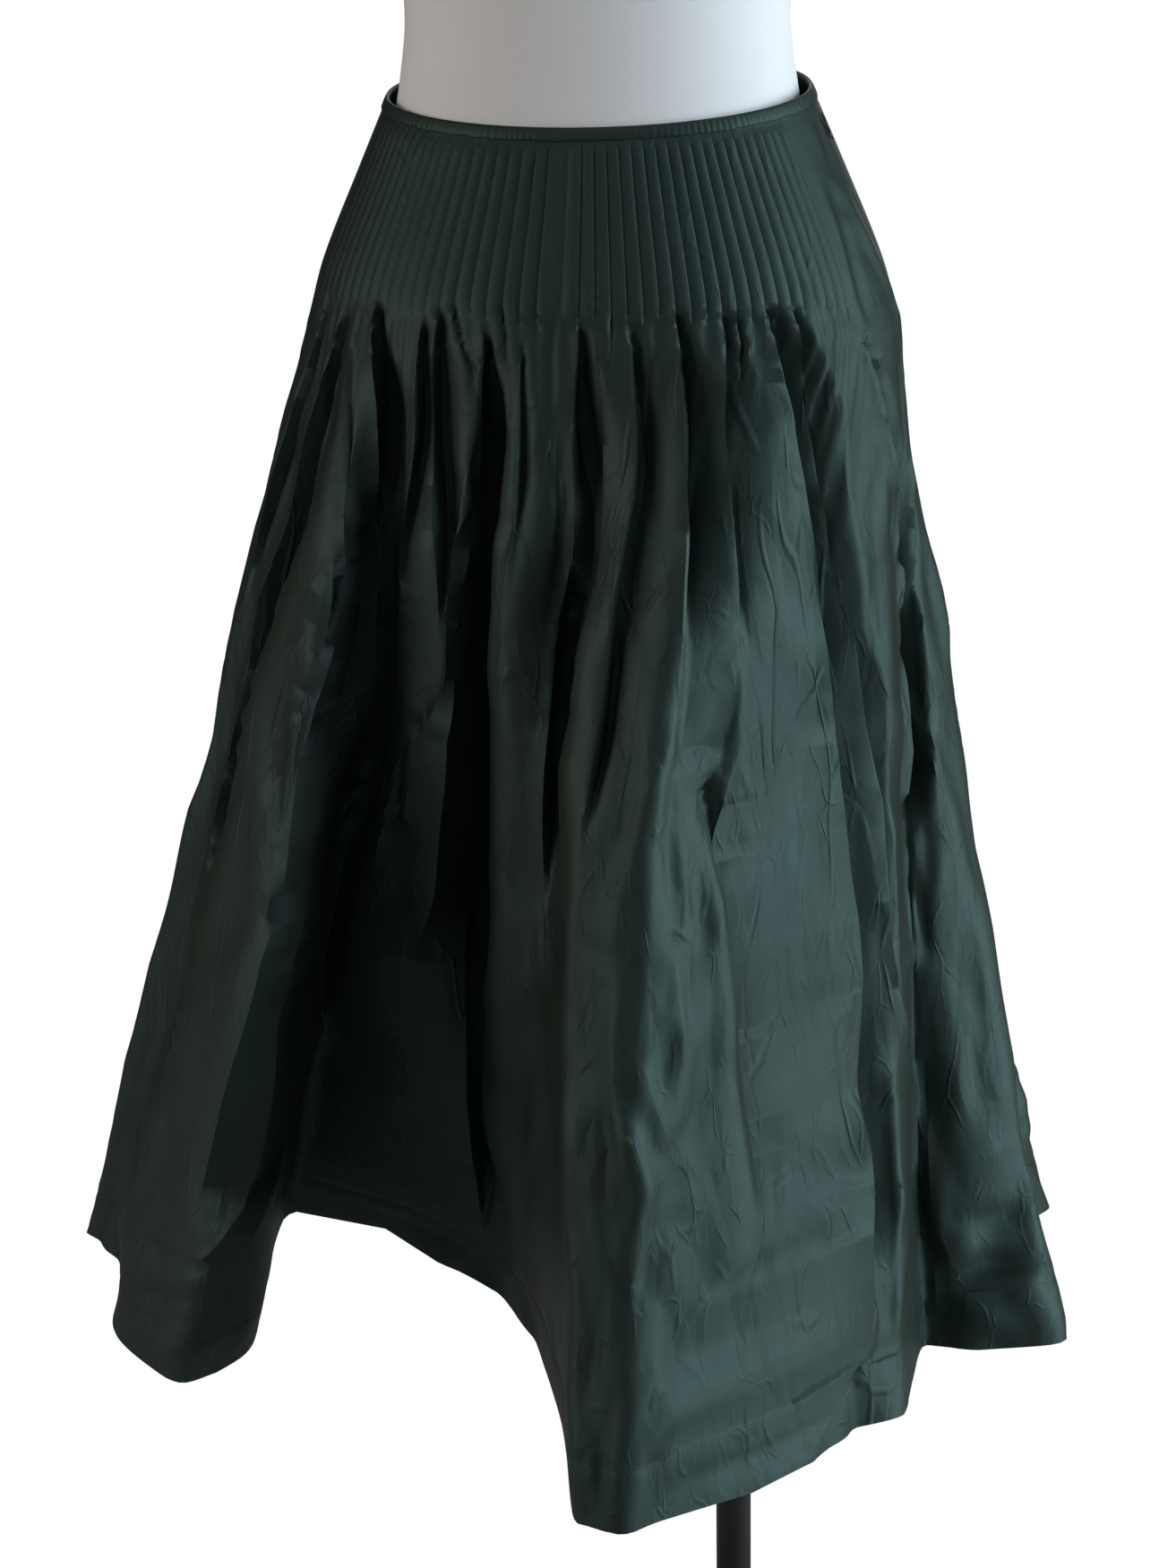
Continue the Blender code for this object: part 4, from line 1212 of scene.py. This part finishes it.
# ================================================================ rows of small parts
def row_tree():
    """Geometry nodes that lay small rounded parts along a path at an even spacing."""
    tree, enter = new_group("row_along_path", "GeometryNodeTree",
                            {"Path": "Geometry", "Spacing": "Float", "Size": "Vector", "Material": "Material"},
                            {"Row": "Geometry"})

    def geometry(kind, inputs, **settings):
        return add_node(tree, "GeometryNode" + kind, inputs, **settings).outputs[0]

    curve = geometry("MeshToCurve", {0: enter["Path"]})
    even = geometry("ResampleCurve", {"Curve": curve, "Length": enter["Spacing"]}, mode="LENGTH")
    bead = geometry("MeshUVSphere", {"Segments": 6, "Rings": 4, "Radius": 0.5})
    tangent = geometry("InputTangent", {})
    turn = add_node(tree, "FunctionNodeAlignRotationToVector", {"Vector": tangent}, axis="Z").outputs[0]
    placed = geometry("InstanceOnPoints", {"Points": even, "Instance": bead, "Rotation": turn,
                                           "Scale": enter["Size"]})
    smooth = geometry("SetShadeSmooth", {0: geometry("RealizeInstances", {0: placed})})
    painted = geometry("SetMaterial", {"Geometry": smooth, "Material": enter["Material"]})
    add_node(tree, "NodeGroupOutput", {"Row": painted})
    return tree


def row_along(name, points, spacing, size, material):
    """A plain mesh of small parts in a row along a path."""
    tree = bpy.data.node_groups.get("row_along_path") or row_tree()
    mesh = bpy.data.meshes.new(name + "_path")
    mesh.from_pydata([tuple(point) for point in points], [(i, i + 1) for i in range(len(points) - 1)], [])
    path = place_object(name + "_path", mesh)
    modifier = path.modifiers.new("row", "NODES")
    modifier.node_group = tree
    values = {"Spacing": spacing, "Size": size, "Material": material}
    for socket in tree.interface.items_tree:
        if socket.name in values:
            modifier[socket.identifier] = values[socket.name]
    made = bpy.data.meshes.new_from_object(path.evaluated_get(bpy.context.evaluated_depsgraph_get()))
    bpy.data.objects.remove(path)
    made.name = name
    return place_object(name, made)


# ================================================================ round pieces
def open_tube(rings):
    """Points and faces of a tube from ring to ring, open at its first and last ring."""
    points, faces = closed_ring(np.array(rings))
    return points, faces[:-len(rings[0])].tolist()


def rounded_rim(radius, low, high, rounding):
    """Outer edge of a turned piece from its underside to its top, as (radius, height) pairs."""
    turns = np.linspace(0.0, math.pi / 2, EDGE_STEPS)
    lower = [(radius - rounding * (1 - math.sin(t)), low + rounding * (1 - math.cos(t))) for t in turns]
    upper = [(radius - rounding * (1 - math.cos(t)), high - rounding * (1 - math.sin(t))) for t in turns]
    return lower + upper


def turned(name, profile, centre, looped):
    """A piece turned from (radius, height) pairs; one that isn't looped is closed at its middle."""
    turn = np.linspace(0.0, 2.0 * math.pi, STAND_SIDES, endpoint=False)
    rings = np.array([np.stack((centre[0] + radius * np.cos(turn), centre[1] + radius * np.sin(turn),
                                np.full_like(turn, height)), -1) for radius, height in profile])
    if looped:
        return closed_piece(name, *closed_ring(rings), 35.0)
    points, faces = open_tube(rings)
    first, last = len(points), len(points) + 1
    points = np.concatenate((points, ((*centre, profile[0][1]), (*centre, profile[-1][1]))))
    top = (len(profile) - 1) * STAND_SIDES
    for step in range(STAND_SIDES):
        after = (step + 1) % STAND_SIDES
        faces += [(first, after, step), (last, top + step, top + after)]
    return closed_piece(name, points, faces, 35.0)


def make_round(node, name, material, rounding, looped=False):
    """A round plate or bar with rounded rims in the place of a node, or a ring round the pole."""
    low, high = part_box(node)
    radius = (high.x - low.x) / 2
    inner = ((POLE_HIGH.x - POLE_LOW.x) / 2 + 0.0003 if looped
             else max(radius - 2.5 * rounding, 0.3 * radius))
    profile = [(inner, low.z), *rounded_rim(radius, low.z, high.z, rounding), (inner, high.z)]
    piece = turned(name, profile, ((low.x + high.x) / 2, (low.y + high.y) / 2), looped)
    finish_piece(piece, material, (node,))


def make_form(material):
    """The limbless form, from one height's outline to the next."""
    turn = np.linspace(0.0, 2.0 * math.pi, FORM_SIDES, endpoint=False)
    side, ahead = (np.sign(wave) * np.abs(wave) ** FORM_FULLNESS for wave in (np.sin(turn), np.cos(turn)))
    rings = []
    for height in np.linspace(FORM_SECTIONS[0][0], FORM_SECTIONS[-1][0], FORM_ROWS):
        half_width, front, back = (float(table_at(FORM_SECTIONS, height, part)) for part in (1, 2, 3))
        depth = np.where(ahead > 0, front, back)
        ring = np.stack((half_width * side, -depth * ahead, np.full_like(turn, height)), -1)
        rings.append(ring + SKIRT_PLACE)
    points, faces = open_tube(rings)
    top = len(points) - FORM_SIDES
    faces += [range(FORM_SIDES - 1, -1, -1), range(top, top + FORM_SIDES)]
    finish_piece(closed_piece("form_cover", points, faces), material, ("dress_form",))


# ================================================================ materials
def new_material(name):
    material = bpy.data.materials.new(name)
    material.use_nodes = True
    return material, material.node_tree.nodes["Principled BSDF"]


def crumpled_cells(group, place, number, scale, width, line_height):
    """Flat facets that meet in crisp creases: each cell is a low roof or a dent, its edge a thin line."""
    turn = (0.3 - 0.6 * number, 0.2, 0.4)
    stretch = add_node(group, "ShaderNodeMapping",
                       {"Vector": place, "Scale": scale, "Rotation": turn}).outputs[0]
    waves = noise(group, stretch, 0.6, output="Color")
    bent = add_node(group, "ShaderNodeVectorMath", {0: waves, 1: (1.6, 1.6, 1.6), 2: stretch},
                    operation="MULTIPLY_ADD").outputs[0]
    edge, cell = (add_node(group, "ShaderNodeTexVoronoi", {"Vector": bent, "Scale": 1.0}, feature=feature)
                  for feature in ("DISTANCE_TO_EDGE", "F1"))
    distance = edge.outputs["Distance"]
    random = add_node(group, "ShaderNodeSeparateXYZ", {0: cell.outputs["Color"]}).outputs["X"]
    roof = maths(group, "MULTIPLY", distance, maths(group, "SUBTRACT", random, 0.42))
    shown = maths(group, "SUBTRACT", noise(group, stretch, 1.3), 0.51)
    strength = maths(group, "MULTIPLY", shown, 8.0, clamp=True)
    line = maths(group, "MULTIPLY", ramp(group, distance, 0.0, width, 1.0, 0.0), strength)
    return maths(group, "MULTIPLY", line, line_height), roof


def taffeta_group():
    """Colour, roughness and height of a fine weave whose warp and weft differ in colour, on the cloth's own UV
    map; the colour also carries painted shade in the folds' valleys and is lighter on their ridges, partly as
    wear and partly as painted highlight.
    """
    group, enter = new_group("shot_weave", "ShaderNodeTree",
                             {"Warp": "Color", "Weft": "Color", "Bend": "Float", "Roughness": "Float",
                              "Crumple": "Float"}, {"Color": "Color", "Roughness": "Float", "Height": "Float"})
    uv = add_node(group, "ShaderNodeUVMap", uv_map="cloth").outputs["UV"]
    place = add_node(group, "ShaderNodeTexCoord").outputs["Object"]

    def threads_of(scale, detail):
        stretch = add_node(group, "ShaderNodeMapping", {"Vector": uv, "Scale": scale}).outputs[0]
        return noise(group, stretch, 1.0, detail)

    across = threads_of((180.0, 2600.0, 1.0), 2.0)
    down = threads_of((2600.0, 160.0, 1.0), 2.0)
    cloudy = threads_of((9.0, 6.0, 1.0), 3.0)
    mixing = maths(group, "MULTIPLY_ADD", maths(group, "SUBTRACT", across, down), 1.6, 0.5)
    cloud = maths(group, "MULTIPLY_ADD", cloudy, 0.5, -0.25)
    blend = add_node(group, "ShaderNodeMix", {"Factor": maths(group, "ADD", mixing, cloud, clamp=True),
                                              6: enter["Warp"], 7: enter["Weft"]}, data_type="RGBA")
    # Painted shade and wear: the colour is darker in the folds' valleys and lighter on their ridges.
    fold_shade_and_wear = maths(group, "MAXIMUM", maths(group, "MULTIPLY_ADD", enter["Bend"], 0.16, 1.0), 0.72)
    height = maths(group, "MULTIPLY", maths(group, "ADD", across, down), THREAD_HEIGHT)
    length = add_node(group, "ShaderNodeSeparateXYZ", {0: uv}).outputs["Y"]
    amount = ramp(group, length, 0.10, 0.18, 0.45, 1.0)
    for number, (scale, slope, width, line_height) in enumerate(CELL_KINDS):
        line, roof = crumpled_cells(group, place, number, scale, width, line_height)
        part = maths(group, "MULTIPLY_ADD", roof, slope, line)
        height = maths(group, "ADD", height, maths(group, "MULTIPLY", part, amount))
    add_node(group, "NodeGroupOutput", {
        "Color": tinted(group, blend.outputs[2], maths(group, "MINIMUM", fold_shade_and_wear, 1.25)),
        "Roughness": maths(group, "MULTIPLY_ADD", across, 0.14, enter["Roughness"]),
        "Height": maths(group, "MULTIPLY", height, enter["Crumple"])})
    return group


def add_surface(tree, shader, group, distance, **values):
    """Give a material the colour, roughness and bumps of a node group; what comes out of the group."""
    made = add_node(tree, "ShaderNodeGroup", values, node_tree=group).outputs
    bump = add_node(tree, "ShaderNodeBump", {"Strength": 1.0, "Distance": distance, "Height": made["Height"]})
    set_inputs(shader, {"Base Color": made["Color"], "Roughness": made["Roughness"],
                        "Normal": bump.outputs["Normal"]})
    return made


def taffeta_material(settings, name="green_taffeta", crumple=1.0):
    """Green taffeta whose warp and weft differ in colour, with a green gloss and a weak green sheen; faces turned
    from the camera get a painted browner shade.
    """
    material, shader = new_material(name)
    tree = material.node_tree
    bend = add_node(tree, "ShaderNodeAttribute", attribute_name="bend")
    weave = add_surface(tree, shader, bpy.data.node_groups.get("shot_weave") or taffeta_group(), 1.0,
                        Warp=(*settings.warp, 1.0), Weft=(*settings.weft, 1.0), Bend=bend.outputs["Fac"],
                        Roughness=settings.roughness - 0.07, Crumple=settings.crumple * crumple)
    # Painted shade: the colour is darkened and browned on faces turned from the camera.
    facing = add_node(tree, "ShaderNodeLayerWeight", {"Blend": 0.5}).outputs["Facing"]
    turned_face_shade = add_node(tree, "ShaderNodeMix", {"Factor": ramp(tree, facing, 0.50, 0.90, 0.0, 1.0),
                                            6: weave["Color"], 7: TURNED_FACE_SHADE},
                    data_type="RGBA", blend_type="MULTIPLY")
    set_inputs(shader, {"Base Color": turned_face_shade.outputs[2], "Specular IOR Level": 0.42, "Specular Tint": GLOSS_TINT,
                        "Sheen Weight": settings.sheen, "Sheen Roughness": 0.35, "Sheen Tint": SHEEN_TINT})
    return material


def grain_group():
    """Small changes of colour, roughness and height, on Object coordinates."""
    group, enter = new_group("fine_grain", "ShaderNodeTree",
                             {"Color": "Color", "Scale": "Vector", "Contrast": "Float", "Roughness": "Float",
                              "Spread": "Float"}, {"Color": "Color", "Roughness": "Float", "Height": "Float"})
    place = add_node(group, "ShaderNodeTexCoord").outputs["Object"]
    scaled = add_node(group, "ShaderNodeVectorMath", {0: place, 1: enter["Scale"]}, operation="MULTIPLY")
    fine = noise(group, scaled.outputs[0], 1.0, 3.0)
    mixed = maths(group, "ADD", fine, noise(group, place, 14.0, 4.0))
    centred = maths(group, "SUBTRACT", mixed, 1.0)
    light = maths(group, "MULTIPLY_ADD", centred, enter["Contrast"], 1.0)
    add_node(group, "NodeGroupOutput", {
        "Color": tinted(group, enter["Color"], light), "Height": fine,
        "Roughness": maths(group, "MULTIPLY_ADD", centred, enter["Spread"], enter["Roughness"])})
    return group


def grained_material(name, colour, finish=()):
    """A material whose colour, roughness and surface change a little all over."""
    roughness, scale, contrast, spread, height = GRAINS[name]
    material, shader = new_material(name)
    add_surface(material.node_tree, shader, bpy.data.node_groups.get("fine_grain") or grain_group(), height,
                Color=(*colour, 1.0), Scale=scale, Contrast=contrast, Roughness=roughness, Spread=spread)
    set_inputs(shader, dict(finish))
    return material


def yarn_material(name, settings, share):
    """A material of the warp's colour, so much darker."""
    return grained_material(name, tuple(share * value for value in settings.warp))


# ================================================================ the studio
def make_floor(settings):
    size = 40.0
    corners = [(-size, -size, 0.0), (size, -size, 0.0), (size, size, 0.0), (-size, size, 0.0)]
    item = new_mesh_object("floor", corners, [(0, 1, 2, 3)], smooth=False)
    material, shader = new_material("pale_floor")
    set_inputs(shader, {"Base Color": (*settings.floor, 1.0), "Roughness": 0.9})
    tree = material.node_tree
    glow = add_node(tree, "ShaderNodeEmission", {"Strength": FLOOR_GLOW})
    seen = add_node(tree, "ShaderNodeLightPath").outputs["Is Camera Ray"]
    mix = add_node(tree, "ShaderNodeMixShader", {"Fac": maths(tree, "MULTIPLY", seen, 0.95), 1: shader.outputs[0],
                                                 2: glow.outputs[0]})
    set_inputs(tree.nodes["Material Output"], {"Surface": mix.outputs[0]})
    item.data.materials.append(material)


def make_sky(settings):
    world = bpy.data.worlds.new("studio_sky")
    world.use_nodes = True
    tree = world.node_tree
    seen = add_node(tree, "ShaderNodeLightPath").outputs["Is Camera Ray"]
    level = add_node(tree, "ShaderNodeMix", {"Factor": seen, 2: settings.sky, 3: 1.0}, data_type="FLOAT")
    set_inputs(tree.nodes["Background"], {"Color": (0.93, 0.97, 1.0, 1.0), "Strength": level.outputs[0]})
    bpy.context.scene.world = world


def make_lights(settings):
    """Soft lights that look at the skirt's middle."""
    target = Vector((*SKIRT_AXIS, WAIST_HEIGHT - 0.35))
    for name, azimuth, elevation, distance, sides, colour in LIGHTS:
        turn, tilt = math.radians(azimuth), math.radians(elevation)
        towards = Vector((math.sin(turn) * math.cos(tilt), -math.cos(turn) * math.cos(tilt), math.sin(tilt)))
        light = bpy.data.lights.new(name + "_light", "AREA")
        light.shape = "RECTANGLE"
        light.size, light.size_y = sides
        light.energy = getattr(settings, name + "_power")
        light.color = colour
        item = place_object(name + "_light", light)
        item.location = target + towards * distance
        item.rotation_euler = towards.to_track_quat("Z", "Y").to_euler()


def make_camera():
    camera = bpy.data.cameras.new("camera")
    camera.sensor_fit = "VERTICAL"
    camera.sensor_height = 36.0
    camera.lens = 36.0 * FOCAL_PIXELS / FRAME_HEIGHT
    camera.clip_end = 200.0
    turn, pitch, roll = (math.radians(a) for a in (VIEW_AZIMUTH, VIEW_PITCH, VIEW_ROLL))
    ahead = Vector((-math.sin(turn) * math.cos(pitch), math.cos(turn) * math.cos(pitch), -math.sin(pitch)))
    right = Vector((math.cos(turn), math.sin(turn), 0.0))
    above = right.cross(ahead)
    place = Vector((*SKIRT_AXIS, WAIST_HEIGHT + VIEW_ABOVE_WAIST))
    place += Vector((math.sin(turn), -math.cos(turn), 0.0)) * VIEW_DISTANCE - right * VIEW_ASIDE
    rolled_right = right * math.cos(roll) - above * math.sin(roll)
    rolled_above = right * math.sin(roll) + above * math.cos(roll)
    item = place_object("camera", camera)
    axes = Matrix((rolled_right, rolled_above, -ahead)).transposed()
    item.matrix_world = Matrix.Translation(place) @ axes.to_4x4()
    bpy.context.scene.camera = item


# ================================================================ operators
class SKIRT_OT_panels(bpy.types.Operator):
    """Make the front and back panels with their tucks, gathers, folds and crumples"""
    bl_idname = "skirt.panels"
    bl_label = "Skirt Panels"

    def execute(self, context):
        settings = context.scene.skirt_cloth
        material, thread = taffeta_material(settings), yarn_material("green_thread", settings, 0.9)
        outer, inner, ring = make_cloth(settings)
        for side, node in enumerate(("front_panel", "back_panel")):
            make_panel(node, side, outer, inner, ring, material, thread)
        return {"FINISHED"}


class SKIRT_OT_trims(bpy.types.Operator):
    """Make the waist binding and the zip in the left side seam"""
    bl_idname = "skirt.trims"
    bl_label = "Binding and Zip"

    def execute(self, context):
        settings = context.scene.skirt_cloth
        make_binding(taffeta_material(settings, "green_binding", 0.25))
        tape = yarn_material("zip_tape_weave", settings, 0.8)
        make_zip_tape(tape, yarn_material("green_thread", settings, 0.9))
        make_zip_slider(grained_material("dark_nickel", (0.10, 0.10, 0.10), {"Metallic": 1.0}))
        return {"FINISHED"}


class SKIRT_OT_stand(bpy.types.Operator):
    """Make the base plate, pole, collars and neck cap"""
    bl_idname = "skirt.stand"
    bl_label = "Stand"

    def execute(self, context):
        settings = context.scene.skirt_stand
        coat = grained_material("black_powder_coat", settings.metal)
        make_round("base_plate", "base", coat, settings.base_edge)
        make_round("pole", "pole_tube", coat, 0.0008)
        make_round("neck_cap", "neck_disc", coat, 0.0025)
        make_round("foot_collar", "foot_ring", coat, 0.003, looped=True)
        make_round("form_socket", "socket_ring", coat, 0.003, looped=True)
        return {"FINISHED"}


class SKIRT_OT_form(bpy.types.Operator):
    """Make the limbless form"""
    bl_idname = "skirt.form"
    bl_label = "Dress Form"

    def execute(self, context):
        nap = {"Sheen Weight": 0.25, "Sheen Roughness": 0.5}
        make_form(grained_material("white_jersey", context.scene.skirt_stand.jersey, nap))
        return {"FINISHED"}


class SKIRT_OT_stage(bpy.types.Operator):
    """Make the floor, the soft lights and the camera"""
    bl_idname = "skirt.stage"
    bl_label = "Studio"

    def execute(self, context):
        for make in (make_floor, make_sky, make_lights):
            make(context.scene.skirt_stage)
        make_camera()
        context.scene.view_settings.view_transform = "Standard"
        return {"FINISHED"}


class SKIRT_PT_sidebar(bpy.types.Panel):
    """Lists the skirt's pieces"""
    bl_idname = "SKIRT_PT_sidebar"
    bl_label = "Skirt"
    bl_space_type = "VIEW_3D"
    bl_region_type = "UI"
    bl_category = "Skirt"

    def draw(self, context):
        for operator in OPERATORS:
            self.layout.operator(operator.bl_idname)


SETTINGS = {"skirt_cloth": ClothSettings, "skirt_stand": StandSettings, "skirt_stage": StageSettings}
OPERATORS = (SKIRT_OT_panels, SKIRT_OT_trims, SKIRT_OT_form, SKIRT_OT_stand, SKIRT_OT_stage)
CLASSES = (*SETTINGS.values(), *OPERATORS, SKIRT_PT_sidebar)


def register():
    for item in CLASSES:
        bpy.utils.register_class(item)
    for name, group in SETTINGS.items():
        setattr(bpy.types.Scene, name, PointerProperty(type=group))


def unregister():
    for name in SETTINGS:
        delattr(bpy.types.Scene, name)
    for item in reversed(CLASSES):
        bpy.utils.unregister_class(item)


def main():
    register()
    bpy.ops.skirt.stage()
    bpy.ops.skirt.panels()
    bpy.ops.skirt.trims()
    bpy.ops.skirt.form()
    bpy.ops.skirt.stand()


if __name__ == "__main__":
    main()
